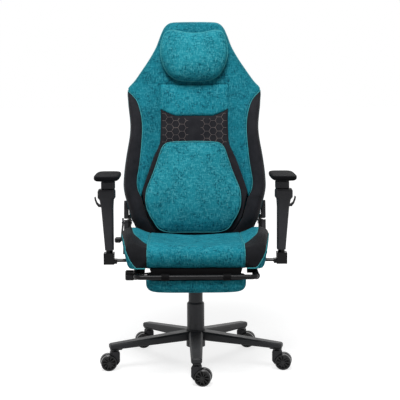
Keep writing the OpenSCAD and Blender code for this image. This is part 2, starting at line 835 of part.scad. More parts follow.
// Pad of the footrest, hanging face down while it is stored
module footrest_pad() {
    color(teal) loft([for (r = [[318, 34], [320, 20], [326, 9], [336, 2], [346, 0], [board_z - 12.1, 0]])
        ring(0, cross_y + 88, r[0], foot_w / 2 - r[1], 79 - r[1] * 0.8, 5)]);
}

module seat_bolts() {
    color(steel) {
        for (p = plate_bolts) translate([p[0], p[1], 0]) bolt(plate_z - 4);
        for (p = side_bolts) translate([p[0], p[1], 0]) bolt(p[1] == arm_y ? bar_z : plate_z - 5);
    }
}

// Hexagon bolt with its head below a face at the given height
module bolt(face) {
    translate([0, 0, face - 5]) cylinder(r = 7.5, h = 5, $fn = 6);
    translate([0, 0, face - 1]) cylinder(r = 4, h = plate_z + 5 - face);
}

/* ---- back ---- */

function back_half(z) = lookup(z, back_outline);
function seam_half(z) = z > 530 ? back_half(z) : min(back_half(z) - 3, lookup(z, back_seam));
function rear_half(z) = z < 100 ? min(249, back_half(z)) : min(back_half(z), 249 + (z - 100) * 0.5);

// How far the front face stands ahead of the recline plane
function back_front(x, z) =
    let (up = smooth((z - 420) / 110), low = smooth((z + 50) / 60))
    (30 + 15 * low)
        + 30 * (1 - up) * smooth((abs(x) - 136) / 84);

// Upright rows and cross columns shared by the parts of the back
back_rows = [-50, -36, -8, 46, 106, 155, 200, 250, 310, 370, 430, 480, 516, 536, 574, 615, 656,
    703, 754, 784, back_h];
back_cols = [for (j = [-8 : 8]) sin(90 * j / 8)];

// Hollow that the steel frame lies in, shared by cushion and rear cover
module frame_pocket() {
    translate([0, 13, 0]) rotate([90, 0, 0]) linear_extrude(26)
        polygon([[-200, 6], [200, 6], [200, 478], [122, 648], [-122, 648], [-200, 478]]);
    translate([-262, -13, 24]) cube([524, 26, 32]);
}

module back_cushion() {
    edge = 12;
    color(teal) on_back() difference() {
        between(
            [for (z = back_rows) [for (s = back_cols) let (x = s * seam_half(z))
                [x, -back_front(x, z) + (z > 530 ? edge * pow(abs(s), 8) * 2 : 0), z]]],
            [for (z = back_rows) [for (s = back_cols) [s * seam_half(z), -0.1, z]]]
        );
        frame_pocket();
    }
}

// Side bolsters of the back, tapering out at the shoulders: each section climbs from the
// seam to a rounded crest, falls to the outer side and folds back to the rear
module back_bolsters() {
    rows = [for (z = back_rows) if (z > -40 && z < 530) z];
    crest = [for (i = [0 : 6]) i / 6];
    rear_cols = [for (i = [0 : 8]) i / 8];
    color(black_cloth) on_back() both_sides() difference() {
        between(
            [for (z = rows) let (inner = seam_half(z) + 0.4, outer = back_half(z),
                rear = rear_half(z), seam = back_front(inner, z), side = seam * 0.55,
                rise = 18 * smooth((516 - z) / 200) * smooth((z + 60) / 120))
                concat(
                    [for (t = crest) [inner + (outer - inner) * sin(90 * t),
                        -seam - rise * sin(180 * t) + (seam - side) * pow(t, 4), z]],
                    [[rear + 0.1, -side + 8, z], [rear, -4, z]])],
            [for (z = rows) let (inner = seam_half(z) + 0.4)
                [for (t = rear_cols) [inner + (rear_half(z) - inner) * t, -0.1, z]]]
        );
        frame_pocket();
    }
}

// Upholstered rear shell of the back, gently crowned
module back_rear_cover() {
    color(teal) on_back() difference() {
        between(
            [for (z = back_rows) [for (s = back_cols) [s * min(rear_half(z), back_half(z)), 0.1, z]]],
            [for (z = back_rows) let (deep = 44 - 12 * smooth((z - 500) / 300))
                [for (s = back_cols) [s * (min(rear_half(z), back_half(z)) - 6 * pow(abs(s), 6)),
                    10 + (deep - 10) * (1 - pow(abs(s), 6)), z]]]
        );
        frame_pocket();
    }
}

// Tube frame of the back: two uprights, a crown and cross tubes
module back_frame() {
    r = 10;
    color(black_metal) on_back() {
        bar([[-185, 0, 12], [-185, 0, 470], [-104, 0, 628], [104, 0, 628], [185, 0, 470],
            [185, 0, 12]], r, r + 0.5);
        rod([-185, 0, 22], [185, 0, 22], 7);
        for (z = [190, 340]) rod([-185, 0, z], [185, 0, z], 7);
        rod([-plate_in + 0.2, 0, 40], [plate_in - 0.2, 0, 40], 8);
    }
}

// Moving hinge plates, bolted to the sides of the back frame
module back_plates() {
    color(black_metal) on_back() both_sides() translate([plate_in, 0, 0]) difference() {
        rotate([90, 0, 90]) linear_extrude(plate_t) difference() {
            union() {
                circle(27);
                polygon([[-27, 0], [27, 0], [20, 96], [8, 112], [-8, 112], [-20, 96]]);
            }
            circle(6.06);
            translate([0, 40]) circle(4.2);
            translate([0, 90]) circle(4.2);
        }
    }
}

module back_bolts() {
    color(steel) on_back() both_sides() for (z = [40, 90]) translate([plate_in + plate_t, 0, z])
        rotate([0, 90, 0]) {
            cylinder(r = 7, h = 3.5, $fn = 6);
            translate([0, 0, -4.8]) cylinder(r = 4, h = 6);
        }
}

// Moulded covers over the moving half of the hinges
module hinge_covers_back() {
    color(black_plastic) on_back() both_sides() translate([bracket_out + 0.3, 0, 0]) difference() {
        rotate([90, 0, 90]) linear_extrude(cover_out - bracket_out) back_cover_side(0);
        translate([-1, 0, 0]) rotate([90, 0, 90])
            linear_extrude(cover_out - bracket_out - 2) back_cover_side(3);
    }
}

// Side outline of the moving hinge cover
module back_cover_side(inset) {
    difference() {
        polygon([[-30 + inset, 14 + inset], [30 - inset, 14 + inset], [27 - inset, 70],
            [18 - inset, 84 - inset], [-18 + inset, 84 - inset], [-27 + inset, 70]]);
        circle(16 + inset);
    }
}

// Pillow at the head, with a hollowed top edge and round lower corners
module head_pillow() {
    low = 552;
    tall = 204;
    rows = [for (i = [0 : 12]) i / 12];
    cols = [for (j = [-8 : 8]) sin(90 * j / 8)];
    color(teal) on_back() between(
        [for (t = rows) let (a = head_half(t)) [for (s = cols)
            [s * a, -49 - 70 * head_puff(s, t), low + tall * t - head_dip(s, t)]]],
        [for (t = rows) let (a = head_half(t)) [for (s = cols)
            [s * (a - 3), -46, low + tall * t - head_dip(s, t)]]]
    );
}

// Half width of the head pillow from its lower edge to its top
function head_half(t) = 139 * (1 - 0.62 * pow(max(0, 1 - t / 0.45), 2.6))
    - 16 * pow(max(0, t - 0.8) / 0.2, 2);

// How far the top edge of the head pillow dips in its middle
function head_dip(s, t) = 10 * smooth((t - 0.7) / 0.3) * (1 - s * s);

// Fullness of a pillow: 1 in the middle, falling to its rim
function head_puff(s, t) = pow(max(0, 1 - pow(abs(s), 2.6)), 0.55)
    * pow(max(0, 1 - pow(abs(2 * t - 1), 3)), 0.5);

// Lumbar pillow: wide and full below, narrower at the top
module lumbar_pillow() {
    low = -40;
    tall = 354;
    rows = [for (i = [0 : 14]) i / 14];
    cols = [for (j = [-8 : 8]) sin(90 * j / 8)];
    color(teal) on_back() between(
        [for (t = rows) let (z = low + tall * t, a = lookup(z, lumbar_outline)) [for (s = cols)
            [s * a, -(back_front(s * a, z + 40) + 6) - 50 * head_puff(s, t) * (1.1 - 0.35 * t), z]]],
        [for (t = rows) let (z = low + tall * t, a = lookup(z, lumbar_outline)) [for (s = cols)
            [s * a, -(back_front(s * a, 100) + 5), z]]]
    );
}

/* ---- casters ---- */

// Fork of a caster: a web between the wheels, a hood on the stem side, and the stem
module caster_fork() {
    color(black_plastic) difference() {
        union() {
            rotate([90, 0, 0]) linear_extrude(2 * web_half, center = true) union() {
                polygon([[-17, 34], [-17, fork_top - 3], [-14, fork_top], [16, fork_top],
                    [18, fork_top - 3], [20, 56], [trail, 40], [trail - 8, 22], [-6, 20]]);
                translate([trail, wheel_r]) circle(10);
            }
            intersection() {
                rotate([90, 0, 0]) linear_extrude(46, center = true)
                    polygon([[-17, 34], [-17, fork_top - 3], [-14, fork_top], [15, fork_top],
                        [17, fork_top - 4], [17, 20], [-5, 20]]);
                translate([-2, 0, 0]) cylinder(r = 24, h = 80);
            }
        }
        translate([trail, 0, wheel_r]) rotate([90, 0, 0]) difference() {
            cylinder(r = wheel_r + 1.5, h = 60, center = true);
            cylinder(r = wheel_r + 2, h = 2 * web_half, center = true);
        }
        translate([trail, 0, wheel_r]) rotate([90, 0, 0])
            cylinder(r = 4.06, h = 60, center = true);
    }
    color(steel) {
        translate([0, 0, fork_top - 1]) cylinder(r = stem_r, h = 19);
        translate([0, 0, fork_top - 0.5]) cylinder(r = stem_r + 2.5, h = 2);
    }
}

// Pair of spoked wheels on one axle
module caster_wheels() {
    color(black_plastic) translate([trail, 0, wheel_r]) rotate([90, 0, 0]) {
        cylinder(r = 4, h = 2 * (web_half + wheel_gap + wheel_w), center = true);
        for (s = [0, 1]) mirror([0, 0, s]) translate([0, 0, web_half + wheel_gap]) spoked_wheel();
    }
}

// Wheel on Z with a tread, a dished rim and spokes
module spoked_wheel() {
    hub = 7;
    rim = wheel_r - 6;
    rotate_extrude()
        polygon([[rim, 0], [wheel_r - 1.5, 0], [wheel_r, 1.5], [wheel_r, wheel_w - 2.5],
            [wheel_r - 2.5, wheel_w], [rim, wheel_w - 1]]);
    cylinder(r = hub, h = wheel_w - 1);
    cylinder(r = rim + 0.5, h = 3);
    for (i = [0 : spokes - 1]) rotate([0, 0, 360 * i / spokes])
        translate([hub - 1, -1.6, 2]) cube([rim - hub + 1.5, 3.2, wheel_w - 5]);
}

module caster_fork_1() { at_caster(1) caster_fork(); }
module caster_fork_2() { at_caster(2) caster_fork(); }
module caster_fork_3() { at_caster(3) caster_fork(); }
module caster_fork_4() { at_caster(4) caster_fork(); }
module caster_fork_5() { at_caster(5) caster_fork(); }
module caster_wheels_1() { at_caster(1) caster_wheels(); }
module caster_wheels_2() { at_caster(2) caster_wheels(); }
module caster_wheels_3() { at_caster(3) caster_wheels(); }
module caster_wheels_4() { at_caster(4) caster_wheels(); }
module caster_wheels_5() { at_caster(5) caster_wheels(); }

star_base();
caster_sockets();
column_tube();
guide_bush();
lift_cover_lower();
gas_rod();
thrust_bearing();
retaining_clip();
gas_tube();
lift_cover_upper();
mechanism_housing();
tilt_spring();
tilt_pin();
tension_knob();
height_lever_rod();
height_lever_grip();
seat_plate();
seat_frame();
seat_cushion();
seat_bolsters();
recline_brackets();
hinge_covers_seat();
hinge_pins();
arm_brackets();
arm_sleeves();
footrest_rails();
rail_bushes();
seat_bolts();
recline_lever();
back_frame();
back_plates();
hinge_covers_back();
back_cushion();
back_bolsters();
back_rear_cover();
back_bolts();
head_pillow();
lumbar_pillow();
arm_post_left();
arm_post_right();
arm_trigger_left();
arm_trigger_right();
arm_carriage_left();
arm_carriage_right();
arm_pad_left();
arm_pad_right();
footrest_frame();
footrest_clamps();
footrest_board();
footrest_pad();
caster_fork_1();
caster_wheels_1();
caster_fork_2();
caster_wheels_2();
caster_fork_3();
caster_wheels_3();
caster_fork_4();
caster_wheels_4();
caster_fork_5();
caster_wheels_5();
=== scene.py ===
"""Gaming chair: upholstery, stitching, finishes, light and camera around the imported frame.

Lengths inside the shape functions are millimetres; every mesh is made in metres, at the origin.
"""
import json
import math
import bmesh
import bpy
import numpy as np
from mathutils import Matrix, Vector


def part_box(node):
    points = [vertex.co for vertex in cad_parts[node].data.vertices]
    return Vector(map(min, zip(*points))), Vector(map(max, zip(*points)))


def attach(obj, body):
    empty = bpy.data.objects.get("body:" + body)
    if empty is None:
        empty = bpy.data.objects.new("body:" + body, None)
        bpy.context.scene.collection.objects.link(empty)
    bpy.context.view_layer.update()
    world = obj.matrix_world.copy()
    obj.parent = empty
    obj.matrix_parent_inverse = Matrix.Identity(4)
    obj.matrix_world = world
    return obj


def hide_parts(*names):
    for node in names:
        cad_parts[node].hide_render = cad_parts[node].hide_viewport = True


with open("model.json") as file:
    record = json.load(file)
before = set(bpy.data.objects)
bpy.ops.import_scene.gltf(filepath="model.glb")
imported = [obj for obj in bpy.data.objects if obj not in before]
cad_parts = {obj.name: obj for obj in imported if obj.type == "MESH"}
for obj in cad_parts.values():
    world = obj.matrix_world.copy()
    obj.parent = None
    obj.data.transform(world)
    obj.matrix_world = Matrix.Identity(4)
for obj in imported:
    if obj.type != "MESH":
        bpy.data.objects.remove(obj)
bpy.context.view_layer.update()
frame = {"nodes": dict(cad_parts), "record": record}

MM = 0.001
LEAN = math.radians(11)
SIDES = ((-1, "left"), (1, "right"))
FORWARDS, UPWARDS = (0, -1, 0), (0, 0, 1)
joint_at = {j["name"]: j.get("pos_m") for j in frame["record"]["behaviour"]["joints"]}
AXIS_Y, AXIS_Z = joint_at["back_recline"][1:]


# ---------------------------------------------------------------- curves and grids

def smooth(t):
    """0 up to t = 0, 1 from t = 1, and 3t^2 - 2t^3 in between."""
    t = np.clip(t, 0, 1)
    return t * t * (3 - 2 * t)


def glide(rows, t):
    """Smooth curve through (t, value...) rows: a cubic between neighbours, whose slope at
    each row is that of the line through the rows on its two sides."""
    rows = np.array(rows, float)
    k, v = rows[:, 0], rows[:, 1:]
    slope = np.gradient(v, k, axis=0)
    t = np.clip(np.asarray(t, float), k[0], k[-1])
    i = np.clip(np.searchsorted(k, t, side="right") - 1, 0, len(k) - 2)
    h = (k[i + 1] - k[i])[..., None]
    s = (t - k[i])[..., None] / h
    out = ((2 * s**3 - 3 * s**2 + 1) * v[i] + (s**3 - 2 * s**2 + s) * h * slope[i]
           + (3 * s**2 - 2 * s**3) * v[i + 1] + (s**3 - s**2) * h * slope[i + 1])
    return out[..., 0] if out.shape[-1] == 1 else out


def trace(points, t):
    """Smooth curve through points that stand at t = 0, 1, 2 and so on."""
    return glide(np.column_stack([range(len(points)), points]), t)


def even(path, count, closed=False):
    """The same path with count points, equally far apart along it."""
    path = np.asarray(path, float)
    if closed:
        path = np.vstack([path, path[:1]])
    along = np.r_[0, np.cumsum(np.linalg.norm(np.diff(path, axis=0), axis=1))]
    at = np.linspace(0, along[-1], count + 1 if closed else count)
    out = np.stack([np.interp(at, along, path[:, c]) for c in range(path.shape[1])], 1)
    return out[:-1] if closed else out


def rolled(d, radius):
    """How far an upholstered edge has fallen at the distance d from its seam, from 1 at the
    seam to 0 at the radius: a quarter circle."""
    x = 1 - np.clip(d / radius, 0, 1)
    return 1 - np.sqrt(1 - x * x)


def on_back(x, y, z):
    """Points given in the leaning frame of the back (millimetres, front towards -y, up the
    back along z), as metres in the shared frame."""
    x, y, z = np.broadcast_arrays(*[np.asarray(c, float) * MM for c in (x, y, z)])
    return np.stack([x, AXIS_Y + y * math.cos(LEAN) + z * math.sin(LEAN),
                     AXIS_Z - y * math.sin(LEAN) + z * math.cos(LEAN)], -1)


def upright(x, y, z):
    """Points given in the shared frame in millimetres, as metres."""
    return np.stack(np.broadcast_arrays(
        *[np.asarray(c, float) * MM for c in (x, y, z)]), -1)


# ---------------------------------------------------------------- meshes

def linked(name, data):
    """New object of the scene around a mesh, lamp or camera."""
    made = bpy.data.objects.new(name, data)
    bpy.context.scene.collection.objects.link(made)
    return made


def skin(name, verts, faces, pick=None):
    """Mesh from vertices and faces, with doubled points merged and its faces outwards. pick
    gives the material number of each face."""
    mesh = bpy.data.meshes.new(name)
    mesh.from_pydata(np.asarray(verts, float).reshape(-1, 3).tolist(), [],
                     [list(map(int, f)) for f in faces])
    if pick is not None:
        mesh.polygons.foreach_set("material_index", np.asarray(pick, np.int32))
    work = bmesh.new()
    work.from_mesh(mesh)
    bmesh.ops.remove_doubles(work, verts=work.verts, dist=1e-6)
    bmesh.ops.dissolve_degenerate(work, edges=work.edges, dist=1e-7)
    bmesh.ops.recalc_face_normals(work, faces=work.faces)
    work.to_mesh(mesh)
    work.free()
    return mesh


def new_piece(name, verts, faces, body, slot, materials, pick=None):
    """Smooth shaded piece that rides on a body. Its slot is not used."""
    mesh = skin(name, verts, faces, pick)
    mesh.polygons.foreach_set("use_smooth", np.ones(len(mesh.polygons), bool))
    piece = linked(name, mesh)
    for material in materials:
        mesh.materials.append(material)
    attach(piece, body)
    return piece


def quads(a, b, c, d):
    """Four arrays of vertex numbers as rows of four."""
    return np.stack([a.ravel(), b.ravel(), c.ravel(), d.ravel()], 1)


def sandwich(front, rear):
    """Vertices and faces of the closed skin over a front and a rear grid of one shape,
    joined all round their rims."""
    m, n = front.shape[:2]
    f = np.arange(m * n).reshape(m, n)
    r = f + m * n
    rim = [(f[:-1, 0], r[:-1, 0], r[1:, 0], f[1:, 0]),
           (f[:-1, -1], f[1:, -1], r[1:, -1], r[:-1, -1]),
           (f[0, :-1], f[0, 1:], r[0, 1:], r[0, :-1]),
           (f[-1, :-1], r[-1, :-1], r[-1, 1:], f[-1, 1:])]
    faces = np.vstack([quads(f[:-1, :-1], f[:-1, 1:], f[1:, 1:], f[1:, :-1]),
                       quads(r[:-1, :-1], r[1:, :-1], r[1:, 1:], r[:-1, 1:])]
                      + [quads(*q) for q in rim])
    return np.vstack([front.reshape(-1, 3), rear.reshape(-1, 3)]), faces


def sleeve(rings, caps=True):
    """Vertices and faces of a tube over rings of points, first to last, with flat fans over
    both ends."""
    m, n = rings.shape[:2]
    k = np.arange(m * n).reshape(m, n)
    step = np.roll(k, -1, axis=1)
    faces = quads(k[:-1], step[:-1], step[1:], k[1:]).tolist()
    verts = rings.reshape(-1, 3)
    if caps:
        verts = np.vstack([verts, rings[0].mean(0), rings[-1].mean(0)])
        low, high = m * n, m * n + 1
        faces += [[low, int(b), int(a)] for a, b in zip(k[0], step[0])]
        faces += [[high, int(a), int(b)] for a, b in zip(k[-1], step[-1])]
    return verts, faces


def ropes(paths, radius, facing, sides=8, closed=False):
    """Round cords along an array of paths (count, points, 3) in metres: at each point a
    circle stands across the path, started from the side that faces the given way."""
    paths = np.asarray(paths, float)
    if closed:
        run = np.roll(paths, -1, axis=1) - np.roll(paths, 1, axis=1)
    else:
        run = np.gradient(paths, axis=1)
    run /= np.linalg.norm(run, axis=-1, keepdims=True) + 1e-12
    side = np.broadcast_to(np.asarray(facing, float), run.shape)
    side = side - (side * run).sum(-1, keepdims=True) * run
    side /= np.linalg.norm(side, axis=-1, keepdims=True) + 1e-12
    other = np.cross(run, side)
    a = np.linspace(0, 2 * np.pi, sides, endpoint=False)
    width = np.broadcast_to(np.asarray(radius, float), paths.shape[:2])[..., None, None]
    rings = (paths[:, :, None] + width * (np.cos(a)[:, None] * side[:, :, None]
                                          + np.sin(a)[:, None] * other[:, :, None]))
    verts, faces, base = [], [], 0
    for ring in rings:
        if closed:
            ring = np.concatenate([ring, ring[:1]])
        v, f = sleeve(ring, caps=not closed)
        verts.append(v)
        faces += [[i + base for i in face] for face in f]
        base += len(v)
    return np.vstack(verts), faces


def stitch_paths(path, pitch, length):
    """Short runs of three points each along a path in metres, one for each stitch."""
    path = np.asarray(path, float)
    along = np.r_[0, np.cumsum(np.linalg.norm(np.diff(path, axis=0), axis=1))]
    start = np.arange(pitch, along[-1] - pitch, pitch)
    at = start[:, None] + np.linspace(0, length, 3)
    return np.stack([np.interp(at, along, path[:, c]) for c in range(3)], -1)


# ---------------------------------------------------------------- materials

def shade(*rgb):
    """Colour written as 0..255 screen values, as the linear colour that shaders take."""
    c = np.array(rgb, float) / 255
    lin = np.where(c <= 0.04045, c / 12.92, ((c + 0.055) / 1.055) ** 2.4)
    return (*lin.tolist(), 1.0)


def node(tree, kind, sockets=(), **settings):
    """Adds a shader node. sockets maps an input's name or number to a value or to another
    node's output."""
    made = tree.nodes.new(kind)
    for key, value in settings.items():
        setattr(made, key, value)
    for key, value in dict(sockets).items():
        if isinstance(value, bpy.types.NodeSocket):
            tree.links.new(value, made.inputs[key])
        else:
            made.inputs[key].default_value = value
    return made


def sums(tree, operation, *terms, clamp=False):
    """Output of one Math node over the terms."""
    return node(tree, "ShaderNodeMath", enumerate(terms), operation=operation,
                use_clamp=clamp).outputs[0]


# Numbers of the Mix node's sockets that are used when it mixes colours
MIX_SHARE, MIX_FIRST, MIX_SECOND, MIX_RESULT = 0, 6, 7, 2


def mixed(tree, share, first, second):
    """Output of a colour mix: first where the share is 0, second where it is 1."""
    return node(tree, "ShaderNodeMix", {MIX_SHARE: share, MIX_FIRST: first, MIX_SECOND: second},
                data_type="RGBA").outputs[MIX_RESULT]


def weighed(tree, first, weight, second, other):
    """first times weight plus second times other."""
    return sums(tree, "ADD", sums(tree, "MULTIPLY", first, weight),
                sums(tree, "MULTIPLY", second, other))


def stretched(tree, vector, scale):
    """The coordinates times a scale for each axis."""
    return node(tree, "ShaderNodeVectorMath", {0: vector, 1: scale},
                operation="MULTIPLY").outputs[0]


def cloud(tree, vector, scale, detail, rough):
    """Output of a noise texture, about 0.5 on average."""
    return node(tree, "ShaderNodeTexNoise", {"Vector": vector, "Scale": scale,
                "Detail": detail, "Roughness": rough}).outputs["Fac"]


def ramped(tree, value, low, high):
    """0 below low, 1 above high and smooth between them. Where low is the greater of the two,
    it falls instead of rising."""
    return node(tree, "ShaderNodeMapRange", {"Value": value, "From Min": low,
                "From Max": high}, interpolation_type="SMOOTHSTEP").outputs["Result"]


def effect(name, inputs, outputs):
    """Empty node group with the named sockets: its tree, input node and output node."""
    tree = bpy.data.node_groups.new(name, "ShaderNodeTree")
    for label, kind, start in inputs:
        made = tree.interface.new_socket(name=label, in_out="INPUT", socket_type=kind)
        if start is not None:
            made.default_value = start
    for label, kind in outputs:
        tree.interface.new_socket(name=label, in_out="OUTPUT", socket_type=kind)
    return tree, tree.nodes.new("NodeGroupInput"), tree.nodes.new("NodeGroupOutput")


def deliver(tree, out, **values):
    """Links each value to the output of that name of a node group."""
    for label, value in values.items():
        tree.links.new(value, out.inputs[label])


VEC, NUM, COL = "NodeSocketVector", "NodeSocketFloat", "NodeSocketColor"


def make_chenille():
    """Mottled pile cloth: broad clouds of shade, short upright and level strokes of darker
    and lighter yarn, and a fine tufted height."""
    tree, given, out = effect(
        "chenille",
        [("Vector", VEC, None), ("Base", COL, None), ("Dark", COL, None), ("Light", COL, None),
         ("Contrast", NUM, 1.0)],
        [("Color", COL), ("Roughness", NUM), ("Height", NUM)])
    at = given.outputs["Vector"]
    clouds = ramped(tree, cloud(tree, at, scale=13.0, detail=3.0, rough=0.6), 0.34, 0.66)
    standing = cloud(tree, stretched(tree, at, (210, 210, 62)), scale=1.0, detail=3.0, rough=0.6)
    level = cloud(tree, stretched(tree, at, (62, 62, 210)), scale=1.0, detail=3.0, rough=0.6)
    patches = ramped(tree, cloud(tree, at, scale=26.0, detail=3.0, rough=0.6), 0.40, 0.62)
    dark = sums(tree, "MAXIMUM", ramped(tree, standing, 0.53, 0.64),
                sums(tree, "MULTIPLY", ramped(tree, level, 0.55, 0.66), 0.9))
    light = sums(tree, "MAXIMUM", ramped(tree, standing, 0.46, 0.34),
                 sums(tree, "MULTIPLY", ramped(tree, level, 0.45, 0.33), 0.9))
    dark = sums(tree, "MULTIPLY", dark, sums(tree, "MULTIPLY_ADD", patches, 0.70, 0.30))
    contrast = given.outputs["Contrast"]
    tone = given.outputs["Base"]
    for mask, amount, yarn in ((clouds, 0.30, "Dark"), (dark, 0.95, "Dark"),
                               (light, 0.55, "Light")):
        share = sums(tree, "MULTIPLY", mask, sums(tree, "MULTIPLY", contrast, amount))
        tone = mixed(tree, share, tone, given.outputs[yarn])
    tufts = cloud(tree, at, scale=750.0, detail=2.0, rough=0.6)
    height = weighed(tree, tufts, 0.6, sums(tree, "ADD", standing, level), 0.5)
    rough = sums(tree, "MULTIPLY_ADD", tufts, 0.25, 0.70)
    deliver(tree, out, Color=tone, Roughness=rough, Height=height)
    return tree


def make_weave():
    """Close plain weave: threads cross at right angles, as the product of two sine waves in
    each pair of axes, with a little unevenness of shade."""
    tree, given, out = effect(
        "weave", [("Vector", VEC, None), ("Thread", NUM, 0.0011)],
        [("Height", NUM), ("Shade", NUM)])
    at = given.outputs["Vector"]
    count = sums(tree, "DIVIDE", math.tau, given.outputs["Thread"])
    apart = node(tree, "ShaderNodeSeparateXYZ", {0: at})
    waves = [sums(tree, "SINE", sums(tree, "MULTIPLY", apart.outputs[i], count))
             for i in range(3)]
    height = sums(tree, "ADD", sums(tree, "MULTIPLY", waves[0], waves[2]),
                  sums(tree, "MULTIPLY", waves[1], sums(tree, "ADD", waves[0], waves[2])))
    height = sums(tree, "MULTIPLY_ADD", height, 0.3, 0.5)
    uneven = weighed(tree, cloud(tree, at, scale=26.0, detail=4.0, rough=0.6), 0.7,
                     cloud(tree, at, scale=420.0, detail=2.0, rough=0.6), 0.3)
    deliver(tree, out, Height=height, Shade=uneven)
    return tree


def make_grain():
    """Fine moulded or sprayed surface: small rounded cells for height, and slow patches that
    are a little glossier or duller, as from handling."""
    tree, given, out = effect(
        "grain", [("Vector", VEC, None), ("Cells", NUM, 900.0), ("Gloss", NUM, 0.4),
                  ("Spread", NUM, 0.12)],
        [("Height", NUM), ("Roughness", NUM), ("Shade", NUM)])
    at = given.outputs["Vector"]
    cells = node(tree, "ShaderNodeTexVoronoi", {"Vector": at, "Scale": given.outputs["Cells"],
                 "Randomness": 1.0}).outputs["Distance"]
    slow = cloud(tree, at, scale=17.0, detail=4.0, rough=0.62)
    fine = cloud(tree, at, scale=260.0, detail=3.0, rough=0.7)
    patch = weighed(tree, slow, 0.6, fine, 0.4)
    swing = sums(tree, "MULTIPLY", sums(tree, "SUBTRACT", patch, 0.5), given.outputs["Spread"])
    rough = sums(tree, "MULTIPLY_ADD", swing, 4.0, given.outputs["Gloss"], clamp=True)
    deliver(tree, out, Height=cells, Roughness=rough, Shade=patch)
    return tree


def make_dust():
    """Pale dust that settles in spots on faces turned upwards, thinly and in patches."""
    tree, given, out = effect("dust", [("Vector", VEC, None), ("Amount", NUM, 0.1)],
                              [("Mask", NUM)])
    up = node(tree, "ShaderNodeSeparateXYZ",
              {0: node(tree, "ShaderNodeNewGeometry").outputs["Normal"]}).outputs[2]
    spots = cloud(tree, given.outputs["Vector"], scale=60.0, detail=6.0, rough=0.7)
    mask = sums(tree, "MULTIPLY", ramped(tree, up, 0.2, 1.0), ramped(tree, spots, 0.42, 0.72))
    deliver(tree, out, Mask=sums(tree, "MULTIPLY", mask, given.outputs["Amount"]))
    return tree


CHENILLE, WEAVE, GRAIN, DUST = make_chenille(), make_weave(), make_grain(), make_dust()


def blank(name, **sockets):
    """New material: its node tree, Principled shader and Object coordinates. The named
    sockets of the shader are set to plain values."""
    made = bpy.data.materials.new(name)
    made.use_nodes = True
    tree = made.node_tree
    shader = tree.nodes["Principled BSDF"]
    for key, value in sockets.items():
        shader.inputs[key.replace("_", " ")].default_value = value
    at = tree.nodes.new("ShaderNodeTexCoord").outputs["Object"]
    return made, tree, shader, at


def placed(tree, group, **sockets):
    """Outputs of one use of a node group with the given inputs."""
    return node(tree, "ShaderNodeGroup", sockets, node_tree=group).outputs


def bumped(tree, shader, height, strength, distance):
    """Height into the shader's normal."""
    bump = node(tree, "ShaderNodeBump", {"Strength": strength, "Distance": distance,
                "Height": height})
    tree.links.new(bump.outputs[0], shader.inputs["Normal"])


def pile_cloth(name, base, dark, light, contrast=1.0):
    """Teal chenille of the main covers."""
    made, tree, shader, at = blank(name, Sheen_Weight=0.08, Sheen_Roughness=0.45,
                                   Sheen_Tint=shade(110, 205, 218), Specular_IOR_Level=0.10)
    use = placed(tree, CHENILLE, Vector=at, Base=shade(*base), Dark=shade(*dark),
                 Light=shade(*light), Contrast=contrast)
    tree.links.new(use["Color"], shader.inputs["Base Color"])
    tree.links.new(use["Roughness"], shader.inputs["Roughness"])
    bumped(tree, shader, use["Height"], strength=0.55, distance=0.0012)
    return made


def woven_cloth(name, low, high, thread, rough, strength=0.5):
    """Close woven cloth between two shades of one colour."""
    made, tree, shader, at = blank(name, Roughness=rough, Sheen_Weight=0.04,
                                   Sheen_Roughness=0.5, Specular_IOR_Level=0.12)
    use = placed(tree, WEAVE, Vector=at, Thread=thread)
    grain = placed(tree, GRAIN, Vector=at, Cells=1400.0, Gloss=rough, Spread=0.08)
    tree.links.new(mixed(tree, ramped(tree, use["Shade"], 0.34, 0.66), shade(*low), shade(*high)),
                   shader.inputs["Base Color"])
    tree.links.new(grain["Roughness"], shader.inputs["Roughness"])
    bumped(tree, shader, use["Height"], strength, distance=0.0004)
    return made


def hard(name, low, high, gloss, cells, strength, spread=0.1, metallic=0.0, coat=0.0,
         dusty=0.0, specular=0.5):
    """Moulded, painted or plated finish between two shades, with a fine grain."""
    made, tree, shader, at = blank(name, Metallic=metallic, Coat_Weight=coat,
                                   Coat_Roughness=0.12, Specular_IOR_Level=specular)
    use = placed(tree, GRAIN, Vector=at, Cells=cells, Gloss=gloss, Spread=spread)
    tone = mixed(tree, ramped(tree, use["Shade"], 0.36, 0.64), shade(*low), shade(*high))
    if dusty:
        mask = placed(tree, DUST, Vector=at, Amount=dusty)["Mask"]
        tone = mixed(tree, mask, tone, shade(150, 148, 144))
    tree.links.new(tone, shader.inputs["Base Color"])
    tree.links.new(use["Roughness"], shader.inputs["Roughness"])
    bumped(tree, shader, use["Height"], strength, distance=0.0003)
    return made


teal = pile_cloth("teal_chenille", (30, 140, 158), (4, 72, 90), (80, 174, 188))
# Darker copy of the teal chenille: painted shade on the yoke, whose wings are the same cloth as
# the chest
shaded_wing_teal = pile_cloth("teal_chenille_painted_shade_wing", (24, 124, 141), (4, 66, 84), (66, 158, 172))
teal_pillow = pile_cloth("teal_chenille_pillow", (36, 143, 159), (7, 82, 98), (88, 180, 192),
                         contrast=1.1)
# Lighter teal of the cords: painted highlight along the piping, whose cloth is the teal of the
# covers
piping_highlight_cloth = pile_cloth("piping_teal_painted_highlight", (66, 160, 168), (36, 120, 130), (112, 192, 196),
                          contrast=0.5)
black_cloth = woven_cloth("black_cover", (26, 27, 31), (38, 38, 43), thread=0.0011, rough=0.7)
# Darker copy of the black cover: painted shade on the seat bolsters
shaded_seat_cloth = woven_cloth("seat_black_cover_painted_shade", (14, 15, 18), (23, 24, 28), thread=0.0011,
                         rough=0.75)
honeycomb_cloth = woven_cloth("honeycomb_cover", (29, 29, 34), (42, 42, 46), thread=0.0016,
                              rough=0.8, strength=0.7)
honey_thread = woven_cloth("honeycomb_thread", (98, 91, 92), (136, 124, 120), thread=0.0006,
                           rough=0.7)
teal_thread = woven_cloth("teal_thread", (30, 120, 132), (72, 165, 172), thread=0.0006,
                          rough=0.6)
